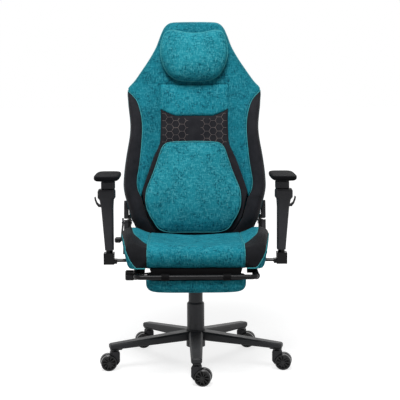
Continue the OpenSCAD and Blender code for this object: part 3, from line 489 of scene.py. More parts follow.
base_paint = hard("satin_black_paint", (27, 28, 30), (37, 38, 41), gloss=0.50, cells=1500.0,
                  strength=0.12, dusty=0.03, specular=0.30)
# Lighter copy of the satin black paint: painted light on the upright faces of the column and lift
# covers
painted_light_column = hard("black_paint_painted_light_column", (42, 42, 45), (53, 53, 57), gloss=0.48, cells=1500.0,
                    strength=0.12, specular=0.34)
frame_paint = hard("gloss_black_paint", (8, 8, 10), (13, 13, 15), gloss=0.34, cells=1300.0,
                   strength=0.08, coat=0.05, specular=0.14)
shaded_paint = hard("matt_black_paint", (9, 9, 10), (14, 14, 15), gloss=0.6, cells=1300.0,
                    strength=0.10, specular=0.06)
moulded = hard("moulded_black", (25, 25, 28), (35, 35, 38), gloss=0.58, cells=1000.0,
               strength=0.30, dusty=0.04, specular=0.28)
# Lighter copy of the black moulding: painted light on the upright arm posts and sleeves
lit_arm_plastic = hard("arm_plastic_painted_light", (34, 34, 37), (45, 45, 49), gloss=0.56, cells=1000.0,
                   strength=0.30, dusty=0.03, specular=0.32)
# Darker copy of the black moulding: painted shade on the footrest board, rail bushes and caster
# sockets, which lie under other parts
shaded_plastic = hard("black_moulding_painted_shade", (13, 13, 15), (20, 20, 22), gloss=0.68, cells=1000.0,
                    strength=0.30, specular=0.08)
glossy = hard("gloss_black_moulding", (9, 9, 11), (15, 15, 17), gloss=0.3, cells=900.0,
              strength=0.04, coat=0.12, specular=0.3)
arm_foam = hard("arm_pad_foam", (12, 12, 14), (18, 18, 21), gloss=0.78, cells=800.0,
                strength=0.22, specular=0.05)
bright = hard("bright_steel", (168, 170, 174), (206, 207, 210), gloss=0.20, cells=1800.0,
              strength=0.05, spread=0.14, metallic=1.0)
spring_steel = hard("spring_steel", (96, 98, 102), (132, 134, 138), gloss=0.30, cells=1600.0,
                    strength=0.08, metallic=1.0)

# Finish of each slot of the record
FINISHES = {"base_metal": base_paint, "frame_metal": frame_paint, "plastic": moulded,
            "gloss_plastic": glossy, "steel": bright, "teal_fabric": teal,
            "black_fabric": black_cloth, "arm_pad": arm_foam}

# Nodes whose finish differs from that of their slot, some by lighter or darker copies that paint
# in light or shade
SPECIAL = {
    "tilt_spring": spring_steel,
    **dict.fromkeys(("column_tube", "lift_cover_lower", "lift_cover_upper"), painted_light_column),
    **dict.fromkeys(("seat_plate", "seat_frame", "mechanism_housing", "footrest_rails",
                     "footrest_clamps"), shaded_paint),
    **dict.fromkeys(("rail_bushes", "footrest_board", "caster_sockets"), shaded_plastic),
    **dict.fromkeys(("arm_sleeves", "arm_post_left", "arm_post_right"), lit_arm_plastic)}


def finish_frame():
    """Gives every CAD node its finish, by its slot in the record or by name."""
    for part in frame["record"]["subparts"]:
        obj = frame["nodes"][part["node"]]
        look = SPECIAL.get(part["node"], FINISHES[part["material_slot"]])
        if not obj.material_slots:
            obj.data.materials.append(look)
        for place in obj.material_slots:
            place.material = look


finish_frame()


# ---------------------------------------------------------------- seams and stitches

# Cords default to the lighter teal that paints a highlight along them
def piping(name, path, body, radius, facing=FORWARDS, cloth=piping_highlight_cloth):
    """Piped seam: one round cord of the radius in millimetres along an open path in metres."""
    spacing, fewest = 0.005, 12
    length = np.linalg.norm(np.diff(path, axis=0), axis=1).sum()
    path = even(path, max(fewest, int(length / spacing)))
    new_piece(name, *ropes([path], radius * MM, facing), body, "teal_fabric", [cloth])


def ring_piping(name, ring, body, radius, facing=FORWARDS):
    """Piped seam all round a piece, through the ring's own points."""
    new_piece(name, *ropes([ring], radius * MM, facing, closed=True), body, "teal_fabric",
              [piping_highlight_cloth])


def stitching(name, paths, body, facing=FORWARDS):
    """Rows of stitches in teal thread: a short raised cord for each."""
    pitch, length, thread_radius = 6.0 * MM, 3.6 * MM, 0.5 * MM
    runs = np.concatenate([stitch_paths(path, pitch, length) for path in paths])
    new_piece(name, *ropes(runs, thread_radius, facing, sides=5), body, "teal_fabric",
              [teal_thread])


# ---------------------------------------------------------------- back

# Outlines as (height up the back, half width), and that of the head end, from the shoulder to
# its middle, as (half width, height)
BACK_EDGE = [(-60, 130), (-50, 166), (-34, 217), (-5, 242), (46, 260), (83, 270), (108, 276.5),
             (140, 281), (170, 280), (205, 277), (250, 271), (370, 254), (480, 263), (520, 265),
             (536, 262)]
BOLSTER_SEAM = [(-60, 100), (-50, 130), (-8, 176), (50, 198), (97, 212), (121, 223), (145, 227),
                (167, 226.5), (203, 220.5), (240, 215.5), (306, 209), (376, 206), (437, 214),
                (485, 232), (502, 245), (514, 257), (522, 264.5)]
YOKE_EDGE = [(262, 537), (236, 570), (205, 615), (177.5, 657), (151.5, 704), (132.5, 754),
             (117.5, 785), (95, 803), (52, 806.5), (0, 807)]

PANEL_HALF = 136  # half width of the middle panels
SHELL_HALF = 249  # half width of the rear shell at the hinges
FOOT = -60        # height of the lower edge
WING_FOOT = 97    # lower tips of the teal wings
HINGE_TOP = 100   # the rear shell widens from here
FIELD_TOP = 420   # middle of the seam between the black panel and the chest
TIP = 522         # upper tips of the bolsters
SHOULDER = 537    # the side's outline turns in to the head end here
YOKE_LOW = 547    # seam between the chest and the head end
TOP = 806         # top of the rear shell


def back_edge(z):
    """Half width of the back's silhouette below the shoulders."""
    return glide(BACK_EDGE, z)


def bolster_seam(z):
    """Half width of the seam between panel or wing and bolster, always inside the edge."""
    return np.minimum(glide(BOLSTER_SEAM, z), back_edge(z) - 0.4)


def rear_half(z):
    """Half width of the rear shell: narrow at the hinges, widening up to the outline."""
    wide = np.where(z > SHOULDER, yoke_edge_half(z), back_edge(z))
    return np.minimum(wide, SHELL_HALF + 0.5 * np.clip(z - HINGE_TOP, 0, None))


def yoke_edge_half(z):
    """Half width of the head end of the back against height."""
    line = trace(YOKE_EDGE, np.linspace(0, len(YOKE_EDGE) - 1, 400))
    return np.interp(z, line[:, 1], line[:, 0])


def back_depth(x, z):
    """How far the upholstery stands ahead of the back's own plane: 45 in the middle, 30 at
    the foot, and up to 30 more on the wings, which die out towards the shoulders."""
    low, up = smooth((z - FOOT) / 70), smooth((z - FIELD_TOP) / 110)
    wing = smooth((np.abs(x) - PANEL_HALF) / 84)
    return 30 + 15 * low + 30 * (1 - up) * wing


def dimples(x, z, size, seed):
    """Slow unevenness of hand-fitted cloth, between -1 and 1: four crossed sine waves at
    different slants."""
    rng = np.random.default_rng(seed)
    out = 0
    for k in range(4):
        a, phase = rng.uniform(0, np.pi), rng.uniform(0, 2 * np.pi)
        out = out + np.sin((x * math.cos(a) + z * math.sin(a)) * (1.7 + 0.8 * k) / size + phase)
    return out / 4


def wing_inner(z):
    """Half width where the teal wing meets the middle: the panel seam, and below it a curve
    that runs out to the bolster."""
    return glide([(WING_FOOT, 211.5), (110, 208), (128, 202), (150, 194), (178, 185), (200, 177),
                  (236, 165), (262, 154), (287, 142), (305, 137), (320, PANEL_HALF),
                  (600, PANEL_HALF)], z)


def chest_edge(x):
    """Height of the seam between teal chest and black panel: level in the middle, climbing
    to both sides."""
    flat = PANEL_HALF / 2
    return FIELD_TOP + 28 * (np.clip(np.abs(x) - flat, 0, None) / flat) ** 1.35


def swell(s, t, height):
    """Crown of a stuffed panel, with s from -1 to 1 across it and t from 0 to 1 up it: height
    times (1 - s^4) times sin(pi t)^0.6."""
    return height * (1 - s ** 4) * np.sin(np.pi * np.clip(t, 0, 1)) ** 0.6


# Steps along the yoke's edges: 0 at the wing's foot, then the shoulder, then the middle of
# the head end
AT_SHOULDER, AT_MIDDLE = 9, 18
YOKE_ROWS, YOKE_COLUMNS = 170, 44


def yoke_edges(step):
    """Inner and outer edge of one half of the yoke as (half width, height) at each step. On
    the wing both follow the seams of its neighbours; round the head end the inner edge is the
    chest's top and the outer edge the silhouette."""
    inner = [WING_FOOT, 150, 236, 290, 330, 380, 430, 475, 510, 533]
    across = [(PANEL_HALF, 533), (135, 545), (122, YOKE_LOW), (100, YOKE_LOW), (82, YOKE_LOW),
              (66, YOKE_LOW), (52, YOKE_LOW), (38, YOKE_LOW), (20, YOKE_LOW), (0, YOKE_LOW)]
    outer = [(0, WING_FOOT + 0.5), (1, 148), (2, 230), (3, 295), (4, 345), (5, 388), (6, 434),
             (7, 476), (8, 502), (8.7, TIP)]
    rise = trace(inner, step)
    near = np.where(step[:, None] < AT_SHOULDER, np.stack([wing_inner(rise), rise], 1),
                    trace(across, step - AT_SHOULDER))
    rise = glide(outer, step)
    far = np.stack([bolster_seam(rise), rise], 1)
    at_tip = outer[-1][0]
    head = [(at_tip, *far[-1]), (AT_SHOULDER, 263.5, 532), (AT_SHOULDER + 0.15, *YOKE_EDGE[0])]
    head += [(k + AT_SHOULDER + 1, *point) for k, point in enumerate(YOKE_EDGE[1:])]
    far = np.where(step[:, None] < at_tip, far, glide(head, step))
    apart = np.where(step < 5, far[:, 0] - 0.3, near[:, 0])
    near[:, 0] = np.minimum(near[:, 0], apart)
    return near, far


def back_yoke():
    """Teal cover from one wing over the shoulders and head end to the other wing. Two edge
    curves, inner and outer, are walked together from tip to tip; between them the surface is
    a straight blend across, set forward by the back's depth, rolled down at the seams and
    rounded away at the silhouette. Returns the silhouette round the head end, and rows for
    the stitches beside the seams of the wings."""
    half = np.linspace(0, AT_MIDDLE, YOKE_ROWS)
    a, b = yoke_edges(half)
    flip = np.array([-1, 1])
    a = np.vstack([a * flip, a[-2::-1]])
    b = np.vstack([b * flip, b[-2::-1]])
    step = np.r_[half, half[-2::-1]]
    u = np.linspace(0, 1, YOKE_COLUMNS)[None, :]
    flat = a[:, None] * (1 - u[..., None]) + b[:, None] * u[..., None]
    x, z = flat[..., 0], flat[..., 1]
    span = np.linalg.norm(b - a, axis=1)[:, None]
    head = smooth((step - 8.2) / 1.6)[:, None]
    from_seam, from_edge = u * span, (1 - u) * span
    depth = (back_depth(x, z) + 1.6 * dimples(x, z, size=60, seed=3) * smooth(from_seam / 30)
             + 5 * np.sin(np.pi * u) * (1 - head) - 3 * rolled(from_seam, 12))
    edge_drop = 6 * (1 - head) + (depth - 5) * head
    depth = depth - edge_drop * rolled(from_edge, 10 * (1 - head) + 40 * head)
    rear = np.minimum(depth - 14, 26 * (1 - head) + 2 * head)
    rear = np.minimum(rear, depth - 2.5)
    front = on_back(x, -depth, z)
    # The yoke takes the darker teal copy, painted shade on the wings
    piece = new_piece("back_yoke", *sandwich(front, on_back(x, -rear, z)), "back",
                      "teal_fabric", [shaded_wing_teal])
    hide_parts("back_cushion")
    rows = wing_stitch_rows(front, span[:, 0], step)
    return front[step > AT_SHOULDER, -1], rows


def wing_stitch_rows(front, span, step):
    """Rows 8 mm inside both seams of each wing, where the wing is wide enough to hold them."""
    inset, least_span, top_step = 8, 40, 8.4
    last = YOKE_COLUMNS - 1
    share = last * np.clip(inset / span, 0, 0.5)
    row, rows = np.arange(len(front)), []
    for at in (share, last - share):
        low = np.floor(at).astype(int).clip(0, last - 1)
        past = (at - low)[:, None]
        line = front[row, low] * (1 - past) + front[row, low + 1] * past
        for wing in (slice(0, YOKE_ROWS - 1), slice(YOKE_ROWS, None)):
            rows.append(line[wing][(span[wing] > least_span) & (step[wing] < top_step)])
    return rows


PANEL_THICK = 16
PANEL_DIMPLE = 1.2  # height of the cloth's unevenness
DIMPLE_SIZE = 55
FIELD_CROWN = 5     # height of the black panel's crown
FIELD_SEED = 7


def panel(name, x, z, crown, cloth, slot, seed, roll=11, drop=5):
    """One upholstered panel of the back. x and z are grids whose rims are the seams; the
    surface stands at the back's depth plus the crown, rolled down all round. Returns it."""
    run_x = np.minimum(x - x[:, :1], x[:, -1:] - x)
    run_z = np.minimum(z - z[:1], z[-1:] - z)
    depth = (back_depth(x, z) + crown
             + PANEL_DIMPLE * dimples(x, z, DIMPLE_SIZE, seed) * smooth(run_x / 25)
             - drop * np.maximum(rolled(run_x, roll), rolled(run_z, roll)))
    front = on_back(x, -depth, z)
    rear = on_back(x, -(depth - PANEL_THICK), z)
    piece = new_piece(name, *sandwich(front, rear), "back", slot, [cloth])
    return front


def back_chest():
    """Teal middle panel from the black panel's curved top up to the head end."""
    s = np.linspace(-1, 1, 60)[None, :]
    t = np.linspace(0, 1, 30)[:, None]
    x = s * PANEL_HALF * np.ones_like(t)
    low = chest_edge(x)
    z = low + (YOKE_LOW - low) * t
    return panel("back_chest", x, z, swell(s, t, 7), teal, "teal_fabric", seed=5, roll=13,
                 drop=3)


def back_lumbar_field():
    """Black panel behind the loose pillow; it widens below the wings to the bolsters."""
    s = np.linspace(-1, 1, 84)[None, :]
    t = np.linspace(0, 1, 130)[:, None]
    rise = FOOT + (FIELD_TOP - FOOT) * t
    wing = np.where(rise < WING_FOOT, np.inf, wing_inner(rise))
    x = s * np.minimum(wing, bolster_seam(rise))
    z = FOOT + (chest_edge(x) - FOOT) * t
    panel("back_lumbar_field", x, z, swell(s, t, FIELD_CROWN), honeycomb_cloth, "black_fabric",
          seed=FIELD_SEED)


def field_depth(x, z):
    """Depth of the black panel's cloth away from its seams."""
    s = x / PANEL_HALF
    t = (z - FOOT) / (chest_edge(x) - FOOT)
    return (back_depth(x, z) + swell(s, t, FIELD_CROWN)
            + PANEL_DIMPLE * dimples(x, z, DIMPLE_SIZE, FIELD_SEED))


def honeycomb():
    """Raised thread in a net of hexagons with level tops, side 16.5, on both halves of the
    black panel. Each hexagon owns three of its six sides; each side is cut in four and only
    the runs inside the field are kept."""
    side = 16.5
    wide, tall = 1.5 * side, side * math.sqrt(3)
    i, j = np.meshgrid(np.arange(-8, 9), np.arange(2, 18))
    cx = i.ravel() * wide
    cz = (j.ravel() + 0.5 * (i.ravel() % 2)) * tall
    corner = np.radians([0, 60, 120, 180])
    px = cx[:, None] + side * np.cos(corner)
    pz = cz[:, None] + side * np.sin(corner)
    cuts = np.linspace(0, 1, 5)
    runs = []
    for k in range(3):
        for low, high in zip(cuts[:-1], cuts[1:]):
            t = np.linspace(low, high, 3)
            runs.append(np.stack([px[:, k, None] * (1 - t) + px[:, k + 1, None] * t,
                                  pz[:, k, None] * (1 - t) + pz[:, k + 1, None] * t], -1))
    runs = np.concatenate(runs)
    mx, mz = runs[:, 1, 0], runs[:, 1, 1]
    bare_half, lowest, from_side, from_top = 24, 90, 7, 8
    keep = ((np.abs(mx) > bare_half) & (np.abs(mx) < PANEL_HALF - from_side)
            & (mz < chest_edge(mx) - from_top) & (mz > lowest))
    x, z = runs[keep][..., 0], runs[keep][..., 1]
    paths = on_back(x, -(field_depth(x, z) + 0.1), z)
    thread_radius = 0.85 * MM
    new_piece("honeycomb_thread", *ropes(paths, thread_radius, FORWARDS, sides=5), "back",
              "black_fabric", [honey_thread])


def back_bolster(sign, name):
    """Black side bolster. Sections are stacked up the back; each climbs from the seam to a
    rounded crest, falls to the outer side and folds back to the rear shell. Returns the
    paths of its seam beside the wing and of its outer edge."""
    crest_columns, fold_columns, home_columns = 34, 12, 8
    z = np.r_[np.linspace(FOOT + 1, 490, 110), np.linspace(493, TIP, 16)][:, None]
    inner, outer, rear = bolster_seam(z), back_edge(z), rear_half(z)
    seam = back_depth(inner, z)
    side = seam * 0.55
    rise = 20 * smooth((TIP - 16 - z) / 200) * smooth((z - FOOT + 10) / 120)
    t = np.linspace(0, 1, crest_columns)[None, :]
    x = inner + (outer - inner) * np.sin(np.pi / 2 * t)
    depth = (seam + rise * np.sin(np.pi * t) - (seam - side) * t ** 4
             - 6 * rolled(x - inner, 11) * smooth((TIP - z) / 30)
             + 1.0 * dimples(x, z, size=70, seed=11) * np.sin(np.pi * t))
    fold = np.linspace(0, 1, fold_columns)[None, 1:]
    fx = outer + (rear - outer) * smooth(fold)
    fd = side + (2 - side) * fold - 3 * np.sin(np.pi * fold)
    home = np.linspace(0, 1, home_columns)[None, 1:-1]
    hx = rear + (inner - rear) * home
    hd = 2 + (seam - 20) * home * smooth((TIP - z) / 60)
    ring_x = np.concatenate([x, fx, hx], 1) * sign
    ring_d = np.concatenate([depth, fd, hd], 1)
    rings = on_back(ring_x, -ring_d, z * np.ones_like(ring_x))
    piece = new_piece(name, *sleeve(rings), "back", "black_fabric", [black_cloth])
    if sign < 0:
        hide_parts("back_bolsters")
    edge_foot = -30
    return rings[z[:, 0] > WING_FOOT, 0], rings[z[:, 0] > edge_foot, crest_columns - 1]


def back_rear():
    """Teal rear shell: half widths follow the outline, the depth is a flat-topped crown that
    falls away at the sides, the head end and the foot, with a sewn panel line inside."""
    low = FOOT + 10
    z = np.r_[np.linspace(low, 760, 120), np.linspace(765, TOP, 18)][:, None]
    s = np.linspace(-1, 1, 92)[None, :]
    x = s * rear_half(z)
    deep = 44 - 12 * smooth((z - 500) / 300)
    ends = rolled(z - low, 30) + rolled(TOP - z, 34)
    crown = (1 - np.abs(s) ** 5) ** 0.8 * (1 - np.clip(ends, 0, 1) * 0.92)
    seam_x, seam_low, seam_high = 165 - 0.07 * (z - 300) * (z > 300), 10, 690
    seam_width = 3.2
    groove = (np.exp(-((np.abs(x) - seam_x) / seam_width) ** 2)
              * smooth((z - seam_low) / 6) * smooth((seam_high - z) / 6))
    groove = np.maximum(groove, np.exp(-((z - seam_high) / seam_width) ** 2)
                        * (np.abs(x) < seam_x))
    depth = 3 + (deep - 3) * crown + 1.4 * dimples(x, z, size=80, seed=17) * crown - 3.0 * groove
    front = on_back(x, np.full_like(depth, -1.5), z * np.ones_like(x))
    rear = on_back(x, depth, z * np.ones_like(x))
    piece = new_piece("back_rear_shell", *sandwich(front, rear), "back", "teal_fabric", [teal])
    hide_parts("back_rear_cover")


# ---------------------------------------------------------------- stuffed pieces

STUFFING_FRAMES = 20
STUFFING_VOXEL = 0.005
STUFFING_PRESSURE = 4.0
PILLOW_RINGS = 26


def points_of(mesh):
    """All points of a mesh as rows."""
    out = np.empty(len(mesh.vertices) * 3)
    mesh.vertices.foreach_get("co", out)
    return out.reshape(-1, 3)


def settled(verts, faces, rim, cap):
    """The same form as stuffed cloth: remeshed evenly, then blown up by Blender's cloth with
    the seam held, no gravity, and no point moving further than the cap. Metres."""
    work = linked("stuffing", skin("stuffing", verts, faces))
    remesh = work.modifiers.new("even", "REMESH")
    remesh.mode, remesh.voxel_size, remesh.use_smooth_shade = "VOXEL", STUFFING_VOXEL, True
    graph = bpy.context.evaluated_depsgraph_get()
    fine = bpy.data.meshes.new_from_object(work.evaluated_get(graph))
    work.modifiers.clear()
    work.data = fine
    start = points_of(fine)
    from_seam = np.array([np.min(np.linalg.norm(rim - p, axis=1)) for p in start])
    held = work.vertex_groups.new(name="seam")
    held.add(np.flatnonzero(from_seam < 1.3 * STUFFING_VOXEL).tolist(), 1.0, "REPLACE")
    cloth = work.modifiers.new("cloth", "CLOTH")
    soft = cloth.settings
    soft.quality = 6
    soft.mass = 0.25
    soft.tension_stiffness = soft.compression_stiffness = 12
    soft.shear_stiffness, soft.bending_stiffness = 6, 0.4
    soft.use_pressure, soft.uniform_pressure_force = True, STUFFING_PRESSURE
    soft.vertex_group_mass = "seam"
    soft.effector_weights.gravity = 0
    scene = bpy.context.scene
    cloth.point_cache.frame_start, cloth.point_cache.frame_end = 1, STUFFING_FRAMES
    for number in range(1, STUFFING_FRAMES + 1):
        scene.frame_set(number)
    graph = bpy.context.evaluated_depsgraph_get()
    move = points_of(work.evaluated_get(graph).to_mesh()) - start
    far = np.linalg.norm(move, axis=1, keepdims=True)
    end = start + move * np.minimum(1, cap / np.maximum(far, 1e-9))
    skin_faces = [tuple(p.vertices) for p in fine.polygons]
    scene.frame_set(1)
    bpy.data.objects.remove(work)
    return end, skin_faces


def behind(points, depth):
    """Keeps points of a pillow at least the given depth (millimetres) ahead of the back."""
    y, z = points[:, 1] - AXIS_Y, points[:, 2] - AXIS_Z
    local_y = y * math.cos(LEAN) - z * math.sin(LEAN)
    local_z = y * math.sin(LEAN) + z * math.cos(LEAN)
    least = -depth(points[:, 0] / MM, local_z / MM) * MM
    local_y = np.minimum(local_y, least)
    out = points.copy()
    out[:, 1] = AXIS_Y + local_y * math.cos(LEAN) + local_z * math.sin(LEAN)
    out[:, 2] = AXIS_Z - local_y * math.sin(LEAN) + local_z * math.cos(LEAN)
    return out


def half_mirrored(half, count):
    """Closed outline with count even points, from (half width, height) points along its right
    half."""
    right = trace(half, np.linspace(0, len(half) - 1, 400))
    return even(np.vstack([right, (right * [-1, 1])[-2:0:-1]]), count, closed=True)


def pillow(name, node_name, outline, middle, rim_depth, dome, blunt, rear, cap):
    """Loose pillow on the back: rings shrink from the outline to the middle on both sides.
    The front stands ahead of the rim by a dome times (1 - share^a)^b, blunt in the middle
    and steep at the rim; the rear runs back quickly to the cloth it leans on. It rides on
    the body of the node that it replaces."""
    share = np.sin(np.linspace(0, np.pi / 2, PILLOW_RINGS))[:, None]
    flat = [0, middle] + share[..., None] * (outline - [0, middle])
    x, z = flat[..., 0], flat[..., 1]
    edge = rim_depth(x, z)
    ahead = edge + dome(x, z) * (1 - share ** blunt[0]) ** blunt[1]
    back = edge - (edge - rear(x, z)) * (1 - share ** 5) ** 0.5
    points = np.vstack([on_back(x, -ahead, z), on_back(x, -back, z)[-2::-1]])
    rim = points[PILLOW_RINGS - 1]
    verts, faces = sleeve(points, caps=False)
    verts, faces = settled(verts, faces, rim, cap * MM)
    verts = behind(verts, rear)
    piece = new_piece(name, verts, faces, node_name, "teal_fabric", [teal_pillow])
    rounder = piece.modifiers.new("round", "SUBSURF")
    rounder.levels = rounder.render_levels = 1
    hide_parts(node_name)
    ring_piping(name + "_piping", even(rim, 220, closed=True), node_name, radius=1.9)


def head_pillow():
    """Outline: wide and square above, where the edge dips in the middle, and drawn in to a
    short level edge below."""
    half = [(0, 748), (30, 749.5), (58, 755), (82, 760), (101, 758), (115, 749), (124, 731),
            (131, 703), (133, 673), (130, 645), (122.5, 619), (111, 596), (95, 576),
            (74, 562.5), (50, 556), (24, 553.5), (0, 553)]
    pillow("head_cushion", "head_pillow", half_mirrored(half, 150), middle=650,
           rim_depth=lambda x, z: 71 + 0 * x,
           dome=lambda x, z: 40 + 6 * smooth((700 - z) / 100), blunt=(2.6, 0.55),
           rear=lambda x, z: 48.5 + 4.5 * smooth((650 - z) / 60), cap=6)


def lumbar_pillow():
    """Outline: a rounded bell, narrow above and wide below its middle, lying a little to one
    side."""
    half = [(0, -45), (60, -45), (106, -43), (137, -30), (156, -3), (171, 22), (183, 52),
            (187, 86), (183, 120), (174.5, 145), (165, 169), (152, 204), (140, 240), (131, 268),
            (121, 292), (106, 307), (80, 312), (40, 314), (0, 314.5)]
    aside = [6, 0]
    pillow("lumbar_cushion", "lumbar_pillow", half_mirrored(half, 190) - aside, middle=120,
           rim_depth=lambda x, z: back_depth(x, np.maximum(z, 100)) + 17 - 4 * smooth(-z / 40),
           dome=lambda x, z: 52 - 25 * smooth((z - 40) / 250), blunt=(2.0, 0.75),
           rear=lambda x, z: back_depth(x, 100 + 0 * z) + 7.5, cap=7)


# ---------------------------------------------------------------- seat

SEAT_HALF = 175.5  # half width of the middle
SEAT_EDGE = 275    # half width over the bolsters' walls
FRONT = -270
REAR = 156
BOTTOM = 410


def seat_middle():
    """Teal middle of the seat: one profile from the rear over the top and the front lip to
    the underside, the same all the way across but for a low crown, raised edges towards the
    bolsters and rolled seams. The lining below it follows a profile of its own. Returns the
    two side seams, and rows for the stitches beside them."""
    rows, columns, row_inset = 120, 90, 2
    profile = [(154, 428), (155, 452), (148, 466), (120, 470.5), (60, 472), (0, 472),
               (-60, 472.5), (-120, 475), (-180, 480), (-225, 483.5), (-248, 482), (-262, 474),
               (-268, 460), (-268.5, 445), (-265, 428), (-258, 414), (-247, 410)]
    lining = [(150, 426), (144, 440), (134, 446), (110, 448), (60, 448), (0, 448), (-60, 448),
              (-120, 450), (-180, 452), (-215, 452), (-232, 450), (-238, 446), (-241, 440),
              (-242, 432), (-242, 424), (-243, 415), (-246, 411.5)]
    walk = np.linspace(0, len(profile) - 1, 600)
    path = trace(profile, walk)
    along = np.r_[0, np.cumsum(np.linalg.norm(np.diff(path, axis=0), axis=1))]
    at = np.interp(np.linspace(0, along[-1], rows), along, walk)
    outer, inner = trace(profile, at), trace(lining, at)
    s = np.linspace(-1, 1, columns)[None, :]
    run = np.gradient(outer, axis=0)
    run /= np.linalg.norm(run, axis=1, keepdims=True)
    up = np.stack([run[:, 1], -run[:, 0]], 1)
    up *= np.sign((up * (outer - inner)).sum(1, keepdims=True))
    x = s * SEAT_HALF * np.ones((rows, 1))
    y0, z0 = outer[:, :1], outer[:, 1:]
    flat = smooth((y0 - FRONT - 15) / 80)
    lift = (4 * (1 - s ** 2) * smooth((z0 - 415) / 40) * (1 - flat)
            + (6 + 10 * np.abs(s) ** 1.5) * flat * smooth((z0 - 430) / 30)
            + 1.8 * dimples(x, y0 + z0, size=60, seed=23) * (1 - s ** 4)
            - 5 * rolled(SEAT_HALF - np.abs(x), 12))
    y = np.maximum(y0 + up[:, :1] * lift, FRONT - 4)
    z = z0 + up[:, 1:] * lift
    front = upright(x, y, z)
    low = upright(x, inner[:, :1] * np.ones_like(s), inner[:, 1:] * np.ones_like(s))
    piece = new_piece("seat_middle", *sandwich(front, low), "seat", "teal_fabric", [teal])
    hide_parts("seat_cushion")
    stitched = front[4:-4]
    return ([front[:, 0], front[:, -1]],
            [stitched[:, row_inset], stitched[:, -1 - row_inset]])


# Cross section of a seat bolster from its inner seam over the crest to the hem: share of the
# way outwards, then the shares of the crest's height and of the inner seam's height
BOLSTER = [(0, 0, 1), (0.10, 0.10, 0.90), (0.22, 0.29, 0.71), (0.36, 0.55, 0.45),
           (0.52, 0.84, 0.16), (0.68, 1, 0), (0.86, 0.965, 0), (0.965, 0.875, 0), (1, 0.74, 0),
           (0.985, 0.54, 0), (0.945, 0.30, 0), (0.885, 0.09, 0), (0.80, 0.005, 0)]


# Columns of a seat bolster's section: up to the leaf seam, on to the wall seam, on to the hem
LEAF_COLUMNS, CREST_COLUMNS, WALL_COLUMNS = 18, 30, 24


def seat_bolster_sections():
    """Sections of a seat bolster from nose to rear, worked out for the right side. The half
    width narrows to a rounded corner at the nose; the crest climbs behind the nose and sinks
    towards the rear. Each section follows BOLSTER, with its columns shared out between the
    leaf seam and the wall seam, which are pressed in, and returns below to its inner side.
    Returns x, y and z, and how far along BOLSTER the leaf seam lies."""
    t = np.r_[0, np.linspace(0.004, 1, 130) ** 1.4][:, None]
    nose_y = FRONT + 3
    y = nose_y + (REAR - FRONT - 5) * t
    nose, corner = 1 - rolled(y - nose_y, 34), 1 - rolled(y - nose_y, 30)
    half = (SEAT_EDGE + 4 - 28 * np.clip(y / FRONT, 0, 1) ** 1.2 - 34 * (1 - corner)
            - 6 * smooth((t - 0.75) / 0.25))
    rise = (0.64 + 0.36 * np.sin(np.pi / 2 * np.clip(t / 0.30, 0, 1))
            - 0.16 * smooth((t - 0.6) / 0.4))
    crest = 113 * rise * (0.45 + 0.55 * nose)
    seam = np.minimum(glide([(-270, 50), (-262, 66), (-248, 73), (-225, 75), (-180, 75.5),
                             (120, 75.5), (156, 72)], y), crest - 4)
    leaf = glide([(-168, 0), (-160, 1.9), (-150, 3.1), (-128, 3.95), (-100, 4.2), (-25, 4.45),
                  (129, 4.95), (156, 5)], y)
    wall = glide([(-267, 10.6), (-266, 10), (-264, 9.3), (-259, 8.4), (-247, 7.6), (-202, 7.6),
                  (156, 7.5)], y)
    end = len(BOLSTER) - 1
    along = np.concatenate([
        leaf * np.linspace(0, 1, LEAF_COLUMNS + 1)[None, :],
        leaf + (wall - leaf) * np.linspace(0, 1, CREST_COLUMNS + 1)[None, 1:],
        wall + (end - wall) * np.linspace(0, 1, WALL_COLUMNS + 1)[None, 1:]], 1)
    part = trace(BOLSTER, along)
    pressed = np.maximum(np.exp(-((along - leaf) * 3) ** 2) * (leaf > 0.1),
                         np.exp(-((along - wall) * 2.4) ** 2))
    inner = SEAT_HALF + 1
    x = inner + (half - inner) * part[..., 0]
    z = (BOTTOM + crest * part[..., 1] + seam * part[..., 2] - 2.2 * pressed
         + 1.0 * dimples(x, y, size=70, seed=31) * smooth(part[..., 0] * 4) * part[..., 1])
    under = np.linspace(0, 1, 8)[None, 1:-1]
    under_x = x[:, -1:] + (inner - x[:, -1:]) * under
    under_z = z[:, -1:] + 27 * smooth((y + 244) / 10) * smooth(under * 3)
    return np.concatenate([x, under_x], 1), y, np.concatenate([z, under_z], 1), leaf[:, 0]


def seat_bolster(sign, name):
    """Side bolster of the seat: a tube over its sections. Its inner slope is teal behind the
    leaf seam, its crest and nose are black, and its outer wall is teal beyond the wall seam,
    which comes round the corner at the nose. Returns the paths of the leaf seam, the wall
    seam and the hem."""
    x, y, z, leaf = seat_bolster_sections()
    rings = upright(x * sign, y * np.ones_like(x), z)
    m, n = x.shape
    column, row = np.tile(np.arange(n), m - 1), np.repeat(np.arange(m - 1), n)
    at_wall = LEAF_COLUMNS + CREST_COLUMNS
    has_leaf = leaf > 0.05
    teal_face = ((column < LEAF_COLUMNS) & has_leaf[row]) | (column >= at_wall)
    pick = np.r_[np.where(teal_face, 1, 0), np.zeros(2 * n, int)]
    # The bolster's black is the darker copy of the cover, painted shade
    piece = new_piece(name, *sleeve(rings), "seat", "black_fabric", [shaded_seat_cloth, teal], pick)
    if sign < 0:
        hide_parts("seat_bolsters")
    first, last, hem_rows = int(np.argmax(has_leaf)) - 1, at_wall + WALL_COLUMNS, 45
    hem = np.vstack([rings[0, last:][::-1], rings[:hem_rows, last]])
    return rings[first:, LEAF_COLUMNS], rings[:, at_wall], hem + [0, -0.0006, 0.0012]


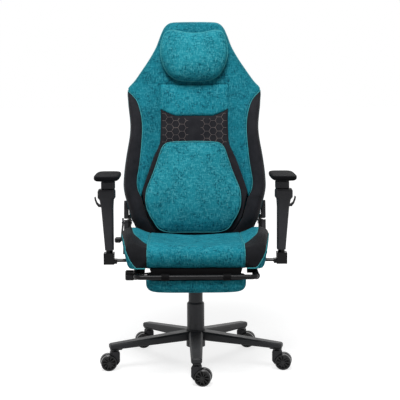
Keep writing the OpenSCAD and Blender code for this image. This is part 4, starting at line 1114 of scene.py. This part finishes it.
def footrest_cushion():
    """Pad of the footrest, face down: squared rings, |x/a|^p + |y/b|^p = 1, wrap up round
    the board, then shrink and curve in towards the face, which is slightly domed."""
    low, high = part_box("footrest_pad")
    middle_y = (low[1] + high[1]) / 2 / MM
    half_x, half_y = (high[0] - low[0]) / 2 / MM, (high[1] - low[1]) / 2 / MM
    top, face = high[2] / MM - 0.2, low[2] / MM
    inset = [(0.6, -13.6), (-0.4, -12), (-0.4, 0), (0.5, 10), (4.5, 20), (12.5, 28.5),
             (25, 34.3), (42, 37), (70, 37.9)]
    steps = trace(inset, np.linspace(0, len(inset) - 1, 40))
    a = np.linspace(0, 2 * np.pi, 144, endpoint=False)
    c, s = np.cos(a), np.sin(a)
    rings = [upright(0 * a, middle_y + 0 * a, top + 0 * a)]
    for inward, down in steps:
        power = 8 - 4.5 * min(1, max(0, inward) / 40)
        rx = (half_x - inward) * np.sign(c) * np.abs(c) ** (2 / power)
        ry = (half_y - 0.8 * inward) * np.sign(s) * np.abs(s) ** (2 / power)
        if down < 0 and inward > 0.5:
            rings.append(upright(0.985 * rx, middle_y + 0.97 * ry, top + 0 * a))
        rings.append(upright(rx, middle_y + ry, top - down * (top - face) / 38 + 0 * a))
    rings.append(upright(0 * a, middle_y + 0 * a, face + 0.05 + 0 * a))
    rings = np.stack(rings)
    piece = new_piece("footrest_cushion", *sleeve(rings, caps=False), "footrest_panel",
                      "teal_fabric", [teal])
    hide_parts("footrest_pad")
    seam = rings[1] + np.array([0, 0, -4 * MM])
    ring_piping("footrest_piping", even(seam, 240, closed=True), "footrest_panel", radius=1.6,
                facing=UPWARDS)


# ---------------------------------------------------------------- the whole chair

head_edge, wing_rows = back_yoke()
chest = back_chest()
back_lumbar_field()
honeycomb()
back_rear()
back_sides = [back_bolster(sign, f"back_bolster_{side}") for sign, side in SIDES]
head_pillow()
lumbar_pillow()
seat_seams, seat_rows = seat_middle()
seat_sides = [seat_bolster(sign, f"seat_bolster_{side}") for sign, side in SIDES]
footrest_cushion()

# Cords lie on their seams, some of them moved a little way out in metres
for (_, side), (seam, edge) in zip(SIDES, back_sides):
    piping(f"back_piping_{side}", seam + [0, -0.0015, 0.0], "back", radius=1.9)
    # The outer cords take the darker teal copy, painted shade
    piping(f"back_edge_piping_{side}", edge, "back", radius=1.4, cloth=shaded_wing_teal)
for (_, side), paths in zip(SIDES, seat_sides):
    for label, path, radius in zip(("leaf", "wall", "hem"), paths, (1.7, 1.7, 2.2)):
        piping(f"seat_{label}_piping_{side}", path, "seat", radius, facing=UPWARDS)
for (_, side), seam in zip(SIDES, seat_seams):
    piping(f"seat_panel_piping_{side}", seam + [0, -0.001, 0.001], "seat", radius=1.8,
           facing=UPWARDS)
piping("head_piping", head_edge, "back", radius=1.7)
stitching("back_stitches", wing_rows + [chest[:, 2], chest[:, -3], chest[2, 2:-2]], "back")
stitching("seat_stitches", seat_rows, "seat", UPWARDS)


# ---------------------------------------------------------------- floor, light and camera

def seen_rays(tree):
    """1 for what the camera sees directly, in a reflection or through glass, else 0."""
    rays = tree.nodes.new("ShaderNodeLightPath").outputs
    return sums(tree, "MAXIMUM", rays["Is Camera Ray"], sums(
        tree, "MAXIMUM", rays["Is Glossy Ray"], rays["Is Transmission Ray"]))


def floor():
    """Pale floor that shows white to the camera and to reflections and keeps a soft shadow."""
    made = bpy.data.materials.new("pale_floor")
    made.use_nodes = True
    tree = made.node_tree
    tree.nodes.clear()
    far_off = node(tree, "ShaderNodeVectorMath",
                   {0: tree.nodes.new("ShaderNodeTexCoord").outputs["Object"]},
                   operation="LENGTH").outputs["Value"]
    level = sums(tree, "MULTIPLY_ADD", ramped(tree, far_off, 0.8, 2.6), 0.26, 0.76)
    glow = node(tree, "ShaderNodeEmission", {"Color": (1, 1, 1, 1),
                "Strength": sums(tree, "MULTIPLY", seen_rays(tree), level)})
    matt = node(tree, "ShaderNodeBsdfDiffuse", {"Color": (0.42, 0.42, 0.42, 1)})
    both = node(tree, "ShaderNodeAddShader", {0: glow.outputs[0], 1: matt.outputs[0]})
    out = tree.nodes.new("ShaderNodeOutputMaterial")
    tree.links.new(both.outputs[0], out.inputs["Surface"])
    mesh = bpy.data.meshes.new("floor")
    far = 30
    mesh.from_pydata([(-far, -far, 0), (far, -far, 0), (far, far, 0), (-far, far, 0)], [],
                     [(0, 1, 2, 3)])
    mesh.materials.append(made)
    linked("floor", mesh)


def lamp(name, place, aim, size, power):
    """Soft white square lamp at a place, turned towards the aim."""
    data = bpy.data.lights.new(name, "AREA")
    data.size, data.energy = size, power
    made = linked(name, data)
    made.location = place
    made.rotation_euler = (Vector(aim) - Vector(place)).to_track_quat("-Z", "Y").to_euler()
    made.visible_camera = False


def daylight(strength):
    """World that lights evenly and shows white behind the floor."""
    world = bpy.data.worlds.new("studio")
    bpy.context.scene.world = world
    world.use_nodes = True
    tree = world.node_tree
    tree.nodes.clear()
    level = sums(tree, "MULTIPLY_ADD", seen_rays(tree), 1 - strength, strength)
    back = node(tree, "ShaderNodeBackground", {"Color": (1, 1, 1, 1), "Strength": level})
    out = tree.nodes.new("ShaderNodeOutputWorld")
    tree.links.new(back.outputs[0], out.inputs["Surface"])


def camera():
    """Camera a little above the seat, tilted down, turned and rolled by small angles."""
    away, height, aside = 4.3236, 1.1138, 0.0181
    turn, tilt, roll = math.radians(-0.682), math.radians(6.415), math.radians(-0.211)
    data = bpy.data.cameras.new("camera")
    data.sensor_width = 36.0
    data.lens = 103.5
    made = linked("camera", data)
    around = Matrix.Rotation(turn, 4, "Z")
    made.matrix_world = (around @ Matrix.Translation((aside, -away, height))
                         @ Matrix.Rotation(math.pi / 2 - tilt, 4, "X")
                         @ Matrix.Rotation(roll, 4, "Z"))
    bpy.context.scene.camera = made


floor()
daylight(0.13)
lamp("key", (-0.3, -1.65, 3.25), (0, 0, 0.9), size=1.6, power=94)
lamp("fill", (2.8, -2.6, 2.2), (0, 0, 0.6), size=2.2, power=12)
lamp("rim", (0.4, 2.6, 3.0), (0, 0.1, 0.9), size=2.0, power=40)
camera()
bpy.context.scene.view_settings.view_transform = "Standard"
